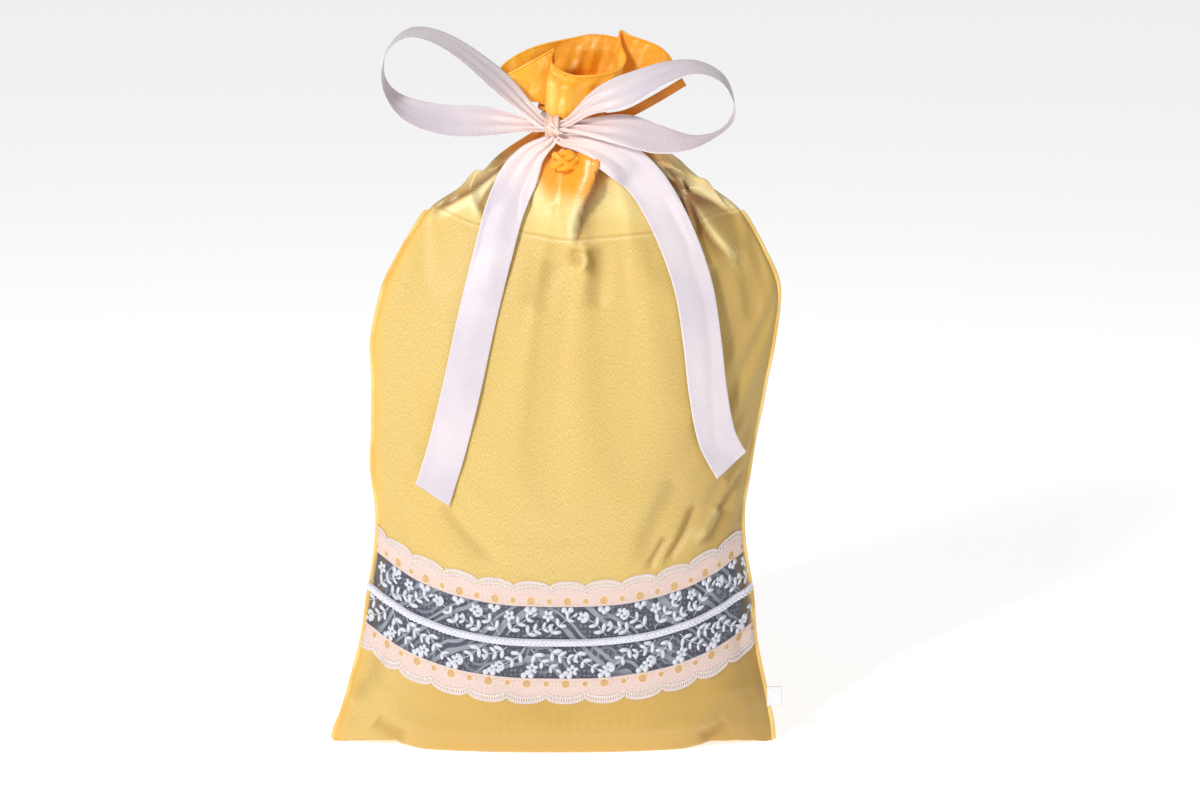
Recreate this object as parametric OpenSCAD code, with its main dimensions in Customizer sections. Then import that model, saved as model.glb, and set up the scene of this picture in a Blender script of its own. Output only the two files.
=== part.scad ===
// Fabric gift sack: a gathered bag of thin yellow cloth with a lace band across its
// front, a folded cloth inside, a satin tie round its neck and a ribbon bow over it.
// Origin: middle of the base, on the surface it stands on. +Z is up and -Y is the front.

/* [Sack] */
// Width of the base between the two sewn corners, without their seam
base_w = 296; // [280:2:310]
// Depth of the filled sack at its fullest
body_d = 84; // [78:1:90]
// Height of the middle of the tied neck
neck_z = 425; // [415:1:435]
// How far the neck leans to the right of the middle
neck_x = 10; // [8:0.5:12]
// Radius of the gathered cloth inside the tie
neck_r = 15; // [14:0.25:16]
// Thickness of the cloth
cloth_t = 1; // [0.8:0.1:1.4]
// Height of the hem where the satin facing of the mouth begins
facing_z = 345; // [335:1:350]
// Width of the seam that stands out at each side
seam_w = 4; // [3:0.5:5]

/* [Lace] */
// Width of the whole lace band, from scallop to scallop
lace_w = 84; // [76:1:90]
// Height of the lower scallops where they meet the side seams
lace_z = 66; // [60:1:72]
// How much lower the band hangs at the middle than at the sides
lace_sag = 28; // [22:1:32]
// Width of the raised braid that joins the two lace strips
braid_w = 6; // [5:0.5:8]

/* [Frill] */
// How far the frill stands above the tie
frill_h = 57; // [50:1:62]
// Number of small pleats round the foot of the frill
frill_pleats = 16; // [10:1:20]

/* [Ribbon] */
// Width of the bow ribbon
ribbon_w = 25; // [22:0.5:26]
// Thickness of the bow ribbon
ribbon_t = 0.8; // [0.6:0.1:1]
// Middle of the knot
knot_at = [2, -27, 420];

/* [Tie] */
// Width of the narrow satin tie
tie_w = 6; // [5:0.5:7]
// Thickness of the folded satin tie
tie_t = 1.6; // [1.2:0.1:1.8]

/* [Contents] */
// Number of folded layers in the cloth that fills the sack
fold_count = 7; // [5:1:7]
// Height of the tallest fold
fold_top = 318; // [290:1:322]

/* [Label] */
// Height of the sewn label
label_h = 14; // [12:0.5:16]
// How far the label stands out of the side seam
label_w = 8; // [6:0.5:9]

/* [Hidden] */

half_d = body_d / 2;
half_w = base_w / 2;
gap = 0.3;                      // room left between two pieces that only touch
seam_gap = 0.8;                 // room left between a panel's edge and its side seam
core_h = 20;                    // height of the gathered core inside the tie
core_z = neck_z - 9;
strip_w = (lace_w - braid_w) / 2;
braid_z = lace_z + strip_w;
seam_half = 1.5;                // half the width of the seam under the base

// Outline of the filled sack. Each row is a height as a share of neck_z, then the reach
// to the left and to the right as shares of half the base, then the depth as a share
// of half the full depth.
outline = [
    [0.00, 1.00, 1.00, 0.70], [0.05, 0.93, 0.95, 0.95], [0.15, 0.85, 0.89, 1.00],
    [0.25, 0.82, 0.88, 1.00], [0.35, 0.78, 0.85, 1.00], [0.45, 0.80, 0.88, 1.00],
    [0.55, 0.79, 0.93, 0.98], [0.65, 0.79, 0.98, 0.94], [0.73, 0.74, 1.00, 0.88],
    [0.80, 0.64, 0.92, 0.80], [0.855, 0.53, 0.82, 0.72], [0.90, 0.34, 0.65, 0.64],
    [0.935, 0.23, 0.53, 0.57], [0.96, 0.12, 0.36, 0.47]
];
neck_row = [core_z / neck_z, (neck_r - neck_x) / half_w, (neck_r + neck_x) / half_w, neck_r / half_d];
rows = concat(outline, [neck_row]);

// Rim of the frill, once round from the left lip of its front cup: across, back and up
// as the cloth lies, with up counted in shares of frill_h above the tie, then the
// direction in which the cloth leaves the neck below.
frill_rim = [
    [2, -9, 0.80, 205], [0, -15, 0.66, 225], [16, -22, 0.59, 255], [42, -19, 0.61, 290],
    [48, -12, 0.70, 310], [46, -5, 0.79, 325], [47, 2, 1.00, 335], [52, 1, 0.86, 342],
    [68, 0, 0.79, 350], [76, 3, 0.66, 356], [77, 9, 0.58, 362], [62, 14, 0.75, 380],
    [42, 15, 0.90, 405], [27, 17, 0.95, 440], [13, 16, 0.90, 470], [-6, 9, 0.83, 500],
    [-20, 4, 0.72, 520], [-32, -2, 0.55, 535], [-28, -6, 0.45, 545], [-4, -9, 0.74, 560],
    [2, -9, 0.80, 565]
];

// Ribbon routes, seen from the front and counted from the middle of the knot: across,
// up, then the angle by which the front edge of the ribbon drops.
loop_left_route = [
    [-9, 3, 55], [-36, 30, 35], [-66, 53, 20], [-90, 60, 10], [-106, 48, 5],
    [-108, 28, 10], [-95, 12, 30], [-70, 4, 45], [-40, 3, 50], [-9, 0, 55]
];
loop_right_route = [
    [9, 3, 55], [26, 15, 55], [48, 24, 50], [70, 34, 30], [90, 38, 15], [106, 32, 10],
    [114, 20, 10], [115, 6, 5], [106, -4, 0], [88, -10, 15], [66, -8, 40], [44, -2, 50],
    [9, 0, 55]
];
// The tails lie on the cloth, so their routes need no angle.
tail_left_route = [
    [-2, -9], [-16, -22], [-30, -50], [-40, -85], [-50, -125], [-60, -170],
    [-70, -210], [-80, -242]
];
tail_right_route = [
    [6, -9], [25, -11], [44, -22], [62, -40], [78, -70], [90, -104],
    [96, -140], [100, -174], [106, -204], [116, -224]
];
tie_end_route = [[30, -5, 422], [48, -8, 425], [66, -8, 434], [86, -8, 446]];

// ---- curves ----

// Smooth curve through the points of a list, from t = 0 to t = 1
function curve(p, t) =
    let (n = len(p) - 1, s = min(max(t, 0), 1) * n, i = min(floor(s), n - 1), f = s - i,
         a = p[max(i - 1, 0)], b = p[i], c = p[i + 1], d = p[min(i + 2, n)])
    0.5 * (2 * b + (c - a) * f + (2 * a - 5 * b + 4 * c - d) * f * f
           + (3 * b - a - 3 * c + d) * f * f * f);

function mix(a, b, t) = a + (b - a) * t;
function unit(v) = v / norm(v);

// ---- the filled sack as a surface ----

height_shares = [for (i = [0 : len(rows) - 1]) [rows[i][0], i / (len(rows) - 1)]];
function row_at(z) = curve(rows, lookup(z / neck_z, height_shares));

// How full a level section is at u, from -1 at the left seam to 1 at the right one
function power_at(z) = lookup(z / neck_z, [[0, 2.4], [0.1, 3], [0.7, 3], [0.98, 2]]);
function bulge_at(z) = lookup(z / neck_z, [[0, 1], [0.1, 0.75], [0.7, 0.75], [0.98, 0.5]]);
function fullness(u, z) = pow(1 - min(pow(abs(u), power_at(z)), 1), bulge_at(z));

// A point of the wall at u and height z. side is -1 for the front and 1 for the back,
// and inset is its distance inside the outer surface.
function wall(u, z, side, inset = 0) =
    let (r = row_at(z), mid = half_w * (r[2] - r[1]) / 2,
         w = half_w * (r[1] + r[2]) / 2 - max(inset, 0))
    [mid + u * w, side * (gap / 2 + max(half_d * r[3] - inset, 0) * fullness(u, z)), z];

// Depth of the front of the sack at a point x across and z up
function front_depth(x, z) =
    let (r = row_at(z), w = half_w * (r[1] + r[2]) / 2, mid = half_w * (r[2] - r[1]) / 2)
    half_d * r[3] * fullness(min(max((x - mid) / w, -1), 1), z);

// Height of a line of the lace that meets the side seams at height z
function lace_line(u, z) = z - lace_sag * (1 - pow(abs(u), 2.4));

// Positions across a panel, closer together towards its seams
function across(n) = [for (i = [0 : n]) sin(90 * (2 * i / n - 1))];

// ---- solids ----

// Closed solid between two grids of points of the same size. With ring = true the last
// column joins the first.
module sheet(outer, inner, ring = false) {
    m = len(outer);
    n = len(outer[0]);
    size = m * n;
    last = ring ? n - 1 : n - 2;
    function at(i, j) = i * n + j % n;
    quads = concat(
        [for (i = [0 : m - 2], j = [0 : last]) [at(i, j), at(i, j + 1), at(i + 1, j + 1), at(i + 1, j)]],
        [for (i = [0 : m - 2], j = [0 : last])
            [at(i, j) + size, at(i + 1, j) + size, at(i + 1, j + 1) + size, at(i, j + 1) + size]],
        [for (j = [0 : last]) [at(0, j + 1), at(0, j), at(0, j) + size, at(0, j + 1) + size]],
        [for (j = [0 : last])
            [at(m - 1, j), at(m - 1, j + 1), at(m - 1, j + 1) + size, at(m - 1, j) + size]],
        ring ? [] : [for (i = [0 : m - 2]) [at(i, 0), at(i + 1, 0), at(i + 1, 0) + size, at(i, 0) + size]],
        ring ? [] : [for (i = [0 : m - 2])
            [at(i + 1, n - 1), at(i, n - 1), at(i, n - 1) + size, at(i + 1, n - 1) + size]]
    );
    polyhedron(
        points = [for (g = [outer, inner], row = g, p = row) p],
        faces = [for (q = quads, k = [0, 1]) k == 0 ? [q[0], q[1], q[2]] : [q[0], q[2], q[3]]],
        convexity = 10
    );
}

// Part of the wall between a lower and an upper line, each a pair: the height at the
// side seams, and 1 where it hangs with the lace or 0 where it is level
module wall_band(low, high, side, steps, columns = 24, out = 0) {
    us = side < 0 ? across(columns) : [for (u = across(columns)) -u];
    function line(u, edge) = mix(edge[0], lace_line(u, edge[0]), edge[1]);
    function grid(inset) = [for (i = [0 : steps])
        [for (u = us) wall(u, mix(line(u, low), line(u, high), i / steps), side, inset)]];
    sheet(grid(-out), grid(cloth_t));
}

// A whole panel that starts at the seam under the base, runs out to the edge of the base
// and then climbs to the upper line
module standing_panel(high, side, steps, columns = 24) {
    us = side < 0 ? across(columns) : [for (u = across(columns)) -u];
    start = seam_half + gap;
    function top(u) = mix(high[0], lace_line(u, high[0]), high[1]);
    function grid(inset) = concat(
        [for (f = [0, 0.5, 1]) [for (u = us)
            let (edge = wall(u, 0, side, inset))
            [edge[0], side * mix(start, max(abs(edge[1]), start + 2), f), inset]]],
        [for (i = [1 : steps]) [for (u = us)
            let (p = wall(u, mix(0, top(u), pow(i / steps, 1.3)), side, inset))
            [p[0], p[1], max(p[2], inset + gap)]]]
    );
    sheet(grid(0), grid(cloth_t));
}

// Outline of a rectangle with rounded corners
function rounded_outline(x0, y0, x1, y1, r) =
    let (corners = [[x1 - r, y1 - r], [x0 + r, y1 - r], [x0 + r, y0 + r], [x1 - r, y0 + r]])
    [for (i = [0 : 3], k = [0 : 6]) let (a = 90 * i + 15 * k) corners[i] + r * [cos(a), sin(a)]];

// Flat strip through lines of points that run along it; away points out of its face
module strip(lines, away) {
    function face(k) = [for (i = [0 : len(away) - 1]) [for (line = lines) line[i] + k * away[i]]];
    sheet(face(0.5), face(-0.5));
}

// ---- panels and lace ----

module back_panel() {
    color("goldenrod") standing_panel([facing_z - gap, 0], 1, 20);
}

module front_lower_panel() {
    color("khaki") standing_panel([lace_z - gap, 1], -1, 7);
}

module front_upper_panel() {
    color("khaki") wall_band([lace_z + lace_w + gap, 1], [facing_z - gap, 0], -1, 14);
}

module lace_strip_lower() {
    color("mistyrose") wall_band([lace_z, 1], [braid_z - gap, 1], -1, 4);
}

module lace_strip_upper() {
    color("mistyrose") wall_band([braid_z + braid_w + gap, 1], [lace_z + lace_w, 1], -1, 4);
}

module lace_braid() {
    color("white") wall_band([braid_z, 1], [braid_z + braid_w, 1], -1, 1, out = 1);
}

// Satin facing of the mouth, from the hem up to the tie, all the way round
module mouth_facing() {
    steps = 7;
    half = 20;
    us = across(half);
    function ring(z, inset) = concat(
        [for (i = [0 : half]) wall(us[i], z, -1, inset)],
        [for (i = [half : -1 : 0]) wall(us[i], z, 1, inset)]
    );
    function grid(inset) = [for (i = [0 : steps]) ring(mix(facing_z, core_z - gap, i / steps), inset)];
    color("orange") sheet(grid(0), grid(cloth_t), ring = true);
}

// ---- seams ----

// Seam that stands out of one side: side -1 is the left and 1 is the right
module side_seam(side) {
    steps = 24;
    half_t = cloth_t + gap / 2;
    function edge(z) = wall(side, z, -1)[0] + side * seam_gap;
    function face(y) = [for (i = [0 : steps]) let (z = mix(0, facing_z, i / steps))
        [[edge(z), y, z], [edge(z) + side * seam_w, y, z]]];
    color("gold")
        if (side < 0) sheet(face(half_t), face(-half_t));
        else sheet(face(-half_t), face(half_t));
}

module side_seam_left() { side_seam(-1); }

module side_seam_right() { side_seam(1); }

module bottom_seam() {
    length = 2 * (half_w - cloth_t);
    color("gold") translate([-length / 2, -seam_half, 0]) cube([length, 2 * seam_half, cloth_t]);
}

// ---- neck and frill ----

module neck_gathers() {
    pleats = 18;
    depth = 0.8;
    steps = 6 * pleats;
    color("darkorange") translate([neck_x, 0, core_z]) linear_extrude(core_h)
        polygon([for (i = [0 : steps - 1]) let (a = 360 * i / steps)
            (neck_r - depth * (1 + cos(pleats * a)) / 2) * [cos(a), sin(a)]]);
}

// Frill of the mouth above the tie. It swells out just above the tie and ends in the rim.
module mouth_frill() {
    steps = 7;
    columns = 96;
    base_z = core_z + core_h + gap;
    pleat = 0.7;
    function point(j, t, inset) =
        let (rim = curve(frill_rim, j / columns),
             out = neck_r + pleat * cos(frill_pleats * rim[3]) - inset,
             base = [neck_x + out * cos(rim[3]), out * sin(rim[3])],
             in_x = inset * cos(rim[3]), in_y = inset * sin(rim[3]),
             open = pow(t, 0.6))
        [mix(base[0], rim[0] - in_x, open), mix(base[1], rim[1] - in_y, open),
         mix(base_z, neck_z + frill_h * rim[2], t)];
    function grid(inset) = [for (i = [0 : steps])
        [for (j = [0 : columns - 1]) point(j, i / steps, inset)]];
    color("orange") sheet(grid(0), grid(cloth_t), ring = true);
}

// ---- contents ----

// Folded cloth: upright folds side by side, each as wide as the sack lets it be
module folded_cloth() {
    room = 5;
    low_z = 3;
    narrow = 0.35 * neck_z;
    depth = half_d * row_at(narrow)[3] - room;
    fold_t = 2 * depth / fold_count;
    round_r = 12;
    left = wall(-1, narrow, -1)[0] + room;
    right = wall(1, narrow, -1)[0] - room;
    function reach(y) = pow(1 - pow(min(abs(y) / (depth + room / 2), 1), 1 / bulge_at(narrow)),
                            1 / power_at(narrow));
    color("midnightblue") for (i = [0 : fold_count - 1]) {
        y = (i - (fold_count - 1) / 2) * fold_t;
        far = abs(y) + fold_t / 2;
        share = reach(far);
        x0 = mix((left + right) / 2, left, share);
        x1 = mix((left + right) / 2, right, share);
        top = fold_top - 1.6 * far;
        foot = low_z + 0.02 * pow(far, 2);
        translate([0, y + fold_t / 2 - gap, 0]) rotate([90, 0, 0]) linear_extrude(fold_t - gap)
            polygon(rounded_outline(x0, foot, x1, top, round_r));
    }
}

// ---- satin tie ----

module tie_band() {
    turns = 2;
    pitch = 3.6;
    color("darkgoldenrod") translate([neck_x, 0, neck_z + 4]) rotate_extrude($fn = 72)
        for (i = [0 : turns - 1])
            translate([neck_r + 0.5 + tie_t, i * pitch]) circle(tie_t, $fn = 24);
}

// Two crossed strands of the tied tie, hanging just under the bow
module tie_knot() {
    strand_r = 2.6;
    at = [[1, -29, 393], [12, -30, 400], [18, -29, 394], [5, -30, 400]];
    color("orange") for (i = [0, 2]) hull() {
        translate(at[i]) sphere(strand_r, $fn = 20);
        translate(at[i + 1]) sphere(strand_r, $fn = 20);
    }
}

module tie_end() {
    steps = 12;
    path = [for (i = [0 : steps]) curve(tie_end_route, i / steps)];
    function along(i) = unit(path[min(i + 1, steps)] - path[max(i - 1, 0)]);
    function up(i) = unit(cross(along(i), [0, 1, 0])) * -tie_w / 2;
    color("darkgoldenrod") strip(
        [for (k = [-1, 1]) [for (i = [0 : steps]) path[i] + k * up(i)]],
        [for (i = [0 : steps]) tie_t * unit(cross(along(i), up(i)))]
    );
}

// ---- ribbon ----

module ribbon_neck_wrap() {
    wrap_h = 10;
    wrap_t = 1.6;
    color("mistyrose") translate([neck_x, 0, core_z + gap]) rotate_extrude($fn = 72)
        translate([neck_r + gap, 0]) square([wrap_t, wrap_h]);
}

module ribbon_knot() {
    half = [2, 4, 3];
    round_r = 3.5;
    color("lavenderblush") translate(knot_at) hull()
        for (sx = [-1, 1], sy = [-1, 1], sz = [-1, 1])
            translate([sx * half[0], sy * half[1], sz * half[2]]) sphere(round_r, $fn = 16);
}

// One loop of the bow, pinched where it enters the knot
module ribbon_loop(route) {
    steps = 44;
    pinch = 0.26;
    path = [for (i = [0 : steps]) let (p = curve(route, i / steps))
        knot_at + [p[0], -4, p[1]]];
    function along(i) = unit(path[min(i + 1, steps)] - path[max(i - 1, 0)]);
    function width(i) = ribbon_w / 2 * mix(pinch, 1, min(sin(180 * i / steps) * 2.4, 1));
    function toward(i) =
        let (drop = curve(route, i / steps)[2], v = [0, -cos(drop), -sin(drop)])
        width(i) * unit(v - (v * along(i)) * along(i));
    color("lavenderblush") strip(
        [for (k = [-1, 1]) [for (i = [0 : steps]) path[i] + k * toward(i)]],
        [for (i = [0 : steps]) ribbon_t * unit(cross(along(i), toward(i)))]
    );
}

module ribbon_loop_left() { ribbon_loop(loop_left_route); }

module ribbon_loop_right() { ribbon_loop(loop_right_route); }

// One tail of the bow. It leaves the knot and lies on the front of the sack, and its edges
// hang back by no more than sag.
module ribbon_tail(route) {
    steps = 36;
    clear = 2;
    sag = 5;
    pinch = 0.3;
    knot_back = -knot_at[1] - 1;
    function flat(i) = let (p = curve(route, i / steps)) [knot_at[0] + p[0], knot_at[2] + p[1]];
    function along(i) = unit(flat(min(i + 1, steps)) - flat(max(i - 1, 0)));
    function width(i) = ribbon_w / 2 * mix(pinch, 1, min(i / steps * 6, 1));
    function depth(p) = front_depth(p[0], p[1]) + clear;
    function edge(i, side) =
        let (p = flat(i) + side * width(i) * [along(i)[1], -along(i)[0]])
        [p[0], -mix(max(depth(p), depth(flat(i)) - sag), knot_back, pow(1 - i / steps, 4)), p[1]];
    color("lavenderblush") strip(
        [for (side = [1, 0.5, 0, -0.5, -1]) [for (i = [0 : steps]) edge(i, side)]],
        [for (i = [0 : steps]) [0, -ribbon_t, 0]]
    );
}

module ribbon_tail_left() { ribbon_tail(tail_left_route); }

module ribbon_tail_right() { ribbon_tail(tail_right_route); }

// ---- label ----

// Small blank label, folded double and caught in the right seam
module side_label() {
    low_z = 24;
    ply = 0.5;
    fold_r = 0.9;
    swing_room = 1.2;
    start = wall(1, low_z, -1)[0] + seam_gap + seam_w + swing_room;
    color("white") translate([start, 0, low_z]) linear_extrude(label_h) difference() {
        union() {
            translate([0, -fold_r]) square([label_w - fold_r, 2 * fold_r]);
            translate([label_w - fold_r, 0]) circle(fold_r, $fn = 24);
        }
        translate([-1, ply - fold_r]) square([label_w - fold_r + 1, 2 * (fold_r - ply)]);
    }
}

back_panel();
front_upper_panel();
front_lower_panel();
lace_strip_upper();
lace_strip_lower();
lace_braid();
side_seam_left();
side_seam_right();
bottom_seam();
mouth_facing();
neck_gathers();
mouth_frill();
folded_cloth();
tie_band();
tie_knot();
tie_end();
ribbon_neck_wrap();
ribbon_knot();
ribbon_loop_left();
ribbon_loop_right();
ribbon_tail_left();
ribbon_tail_right();
side_label();
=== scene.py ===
"""Looks of a filled fabric gift sack: slubbed tissue cloth, a lace band let in across the
front, satin frill and tie, and a ribbed ribbon bow. Lengths in the shape functions are
millimetres, as in the part's source, and mesh points are metres."""

import math

import bmesh
import bpy
import numpy as np
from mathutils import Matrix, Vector, kdtree


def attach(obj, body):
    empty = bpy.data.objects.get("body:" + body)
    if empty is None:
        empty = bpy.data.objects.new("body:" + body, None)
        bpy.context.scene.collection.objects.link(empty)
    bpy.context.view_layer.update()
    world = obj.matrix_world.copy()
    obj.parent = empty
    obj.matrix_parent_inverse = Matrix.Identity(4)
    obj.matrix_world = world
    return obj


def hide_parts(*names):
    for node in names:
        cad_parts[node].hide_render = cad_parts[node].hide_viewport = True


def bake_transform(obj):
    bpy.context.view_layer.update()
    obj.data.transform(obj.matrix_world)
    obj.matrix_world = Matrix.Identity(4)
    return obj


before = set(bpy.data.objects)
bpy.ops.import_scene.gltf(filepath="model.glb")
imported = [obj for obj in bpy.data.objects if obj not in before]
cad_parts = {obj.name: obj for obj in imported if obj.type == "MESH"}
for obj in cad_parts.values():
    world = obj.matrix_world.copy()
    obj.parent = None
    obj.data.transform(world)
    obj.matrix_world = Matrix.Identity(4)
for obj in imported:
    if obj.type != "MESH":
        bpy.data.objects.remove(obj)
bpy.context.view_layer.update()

MM = 0.001
FRONT, BACK = -1, 1

# ---------------------------------------------------------------- sizes, from the part

HALF_W = 148.0          # half the base between the seams
HALF_D = 42.0           # half the depth of the filled sack
NECK_X, NECK_R, NECK_Z = 10.0, 15.0, 425.0
CORE_LOW, CORE_HIGH = 416.0, 436.0
FACING_Z = 345.0        # hem of the satin facing at the middle of the front
HEM_RISE = 18.0         # how much higher the hem runs at the sides
LACE_LOW, LACE_W, LACE_SAG = 66.0, 84.0, 28.0
BORDER_W, BRAID_W = 18.0, 6.0
SCALLOP = 24.6          # pitch of the scallops
SCALLOP_RISE = 4.4
LOOP_PITCH = 1.54       # pitch of the small loops along the lace's edge
KNOT = (2.0, -27.0, 420.0)
RIBBON_W = 25.0
FRILL_H = 57.0
CLOTH_T, RIBBON_T, WOVEN_T = 0.5, 0.35, 0.3     # thicknesses
FLOOR_RUN = 30.0        # how far the panels run in under the base
CONTENTS_TOP = 322.0
LABEL_LOW, LABEL_H, LABEL_END = 24.3, 13.4, 153.8
SKIN_COLS, SKIN_ROWS = 56, 82                   # squares of the skin's grids

# height, reach to the left, reach to the right and depth, as shares. The part's own outline
# is the same but for its lower sides, which are up to 4 mm narrower.
OUTLINE = [
    (0.00, 1.00, 1.00, 0.70), (0.05, 0.95, 0.98, 0.95), (0.15, 0.87, 0.92, 1.00),
    (0.25, 0.82, 0.89, 1.00), (0.35, 0.78, 0.85, 1.00), (0.45, 0.80, 0.88, 1.00),
    (0.55, 0.79, 0.93, 0.98), (0.65, 0.79, 0.98, 0.94), (0.73, 0.74, 1.00, 0.88),
    (0.80, 0.64, 0.92, 0.80), (0.855, 0.53, 0.82, 0.72), (0.90, 0.34, 0.65, 0.64),
    (0.935, 0.23, 0.53, 0.57), (0.96, 0.12, 0.36, 0.47),
    (CORE_LOW / NECK_Z, (NECK_R - NECK_X) / HALF_W, (NECK_R + NECK_X) / HALF_W,
     NECK_R / HALF_D),
]
# rim of the frill: x, y, height above the neck as a share of FRILL_H, and angle round it
FRILL_RIM = [
    (2, -9, 0.74, 205), (1, -15, 0.58, 225), (16, -22, 0.46, 255), (40, -19, 0.50, 290),
    (48, -12, 0.62, 310), (45, -5, 0.78, 325), (45, 2, 0.92, 335), (52, 2, 0.86, 342),
    (68, 0, 0.76, 350), (76, 3, 0.64, 356), (77, 9, 0.56, 362), (62, 14, 0.70, 380),
    (42, 15, 0.82, 405), (27, 17, 0.85, 440), (13, 16, 0.81, 470), (-6, 9, 0.75, 500),
    (-20, 4, 0.66, 520), (-32, -2, 0.52, 535), (-28, -6, 0.45, 545), (-4, -9, 0.68, 560),
    (2, -9, 0.74, 565),
]
# loops of the bow: x and z from the knot, and tilt of the ribbon's width from level
LOOP_LEFT = [
    (-9, 3, 55), (-36, 30, 35), (-66, 53, 20), (-90, 60, 10), (-106, 48, 5),
    (-108, 28, 10), (-95, 12, 30), (-70, 4, 45), (-40, 3, 50), (-9, 0, 55),
]
LOOP_RIGHT = [
    (9, 3, 55), (26, 15, 55), (48, 24, 50), (70, 34, 30), (90, 38, 15), (106, 32, 10),
    (114, 20, 10), (115, 6, 5), (106, -4, 0), (88, -10, 15), (66, -8, 40), (44, -2, 50),
    (9, 0, 55),
]
# ends of the ribbon: x and z from the knot
TAIL_LEFT = [
    (-2, -9), (-16, -22), (-30, -50), (-40, -85), (-50, -125), (-60, -170), (-70, -210),
    (-80, -242),
]
TAIL_RIGHT = [
    (6, -9), (25, -11), (44, -22), (62, -40), (78, -70), (90, -104), (96, -140),
    (100, -174), (106, -204), (116, -224),
]
# free end of the tie: x, y and z
TIE_END = [(30, -5, 422), (48, -8, 425), (66, -8, 434), (86, -8, 446)]

# ---------------------------------------------------------------- camera


def make_camera():
    """Front view from 12 degrees above, through a long lens."""
    data = bpy.data.cameras.new("camera")
    camera = bpy.data.objects.new("camera", data)
    bpy.context.scene.collection.objects.link(camera)
    bpy.context.scene.camera = camera
    data.lens = 100.0
    elevation, distance = math.radians(12), 2.2
    aim = Vector((0.0317, 0.0, 0.2346))
    back = Vector((0, -math.cos(elevation), math.sin(elevation)))
    camera.location = aim + back * distance
    camera.rotation_mode = "QUATERNION"
    camera.rotation_quaternion = (-back).to_track_quat("-Z", "Y")


make_camera()

# ---------------------------------------------------------------- curves and the skin


def spline(points, t):
    """Smooth curve through the points at each t from 0 to 1, one row per t."""
    p = np.array(points, float)
    n = len(p) - 1
    s = np.clip(np.atleast_1d(np.asarray(t, float)), 0, 1) * n
    i = np.minimum(s.astype(int), n - 1)
    f = (s - i)[:, None]
    a, b, c, d = p[np.maximum(i - 1, 0)], p[i], p[i + 1], p[np.minimum(i + 2, n)]
    return 0.5 * (2 * b + (c - a) * f + (2 * a - 5 * b + 4 * c - d) * f**2
                  + (3 * b - a - 3 * c + d) * f**3)


def smooth(t):
    """0 below 0 and 1 above 1, smooth between."""
    t = np.clip(t, 0, 1)
    return t * t * (3 - 2 * t)


def heading(path):
    """Unit directions along a path."""
    along = np.gradient(path, axis=0)
    return along / np.maximum(np.linalg.norm(along, axis=1, keepdims=True), 1e-9)


def run_of(path):
    """How far along a path each of its points is."""
    return np.concatenate([[0], np.cumsum(np.linalg.norm(np.diff(path, axis=0), axis=1))])


def row_of(b, n):
    """Number of the point that b, from 0 to 1, stands for among n."""
    return np.rint(b * (n - 1)).astype(int)


def round_sack(a):
    """Once round the sack as a runs from 0 to 1: the front from left to right, then the
    back from right to left. Gives which points are in front, and their u."""
    front = a <= 0.5
    k = np.where(front, 2 * a, 2 - 2 * a)
    return front, np.sin(np.pi * (k - 0.5))


def outline_at(z):
    """The sack's outline at each height: height, reach to the left and right, and depth."""
    share = np.atleast_1d(np.asarray(z, float)) / NECK_Z
    heights = [row[0] for row in OUTLINE]
    return spline(OUTLINE, np.interp(share, heights, np.linspace(0, 1, len(heights))))


def plain_wall(u, h, side):
    """The sack before its cloth settles. u runs from -1 to 1 across a panel. h is the
    height, and below 0 it runs in over the floor to the seam under the base."""
    u, h = np.broadcast_arrays(np.asarray(u, float), np.asarray(h, float))
    z = np.maximum(h, 0)
    row = outline_at(z.ravel())
    left, right, depth = (row[:, k].reshape(z.shape) for k in (1, 2, 3))
    share = z / NECK_Z
    power = np.interp(share, [0, 0.1, 0.7, 0.98], [2.4, 3, 3, 2])
    bulge = np.interp(share, [0, 0.1, 0.7, 0.98], [1, 0.75, 0.75, 0.5])
    full = (1 - np.minimum(np.abs(u) ** power, 1)) ** bulge
    x = HALF_W * ((right - left) / 2 + u * (right + left) / 2)
    y = side * HALF_D * depth * full * np.clip(1 + h / FLOOR_RUN, 0, 1)
    ear = smooth((np.abs(u) - 0.55) / 0.2) * (1 - smooth((np.abs(u) - 0.86) / 0.12))
    lift = 3.0 * ear * np.exp(-z / 12)
    return np.stack([x, y, z + lift], -1)


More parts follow.
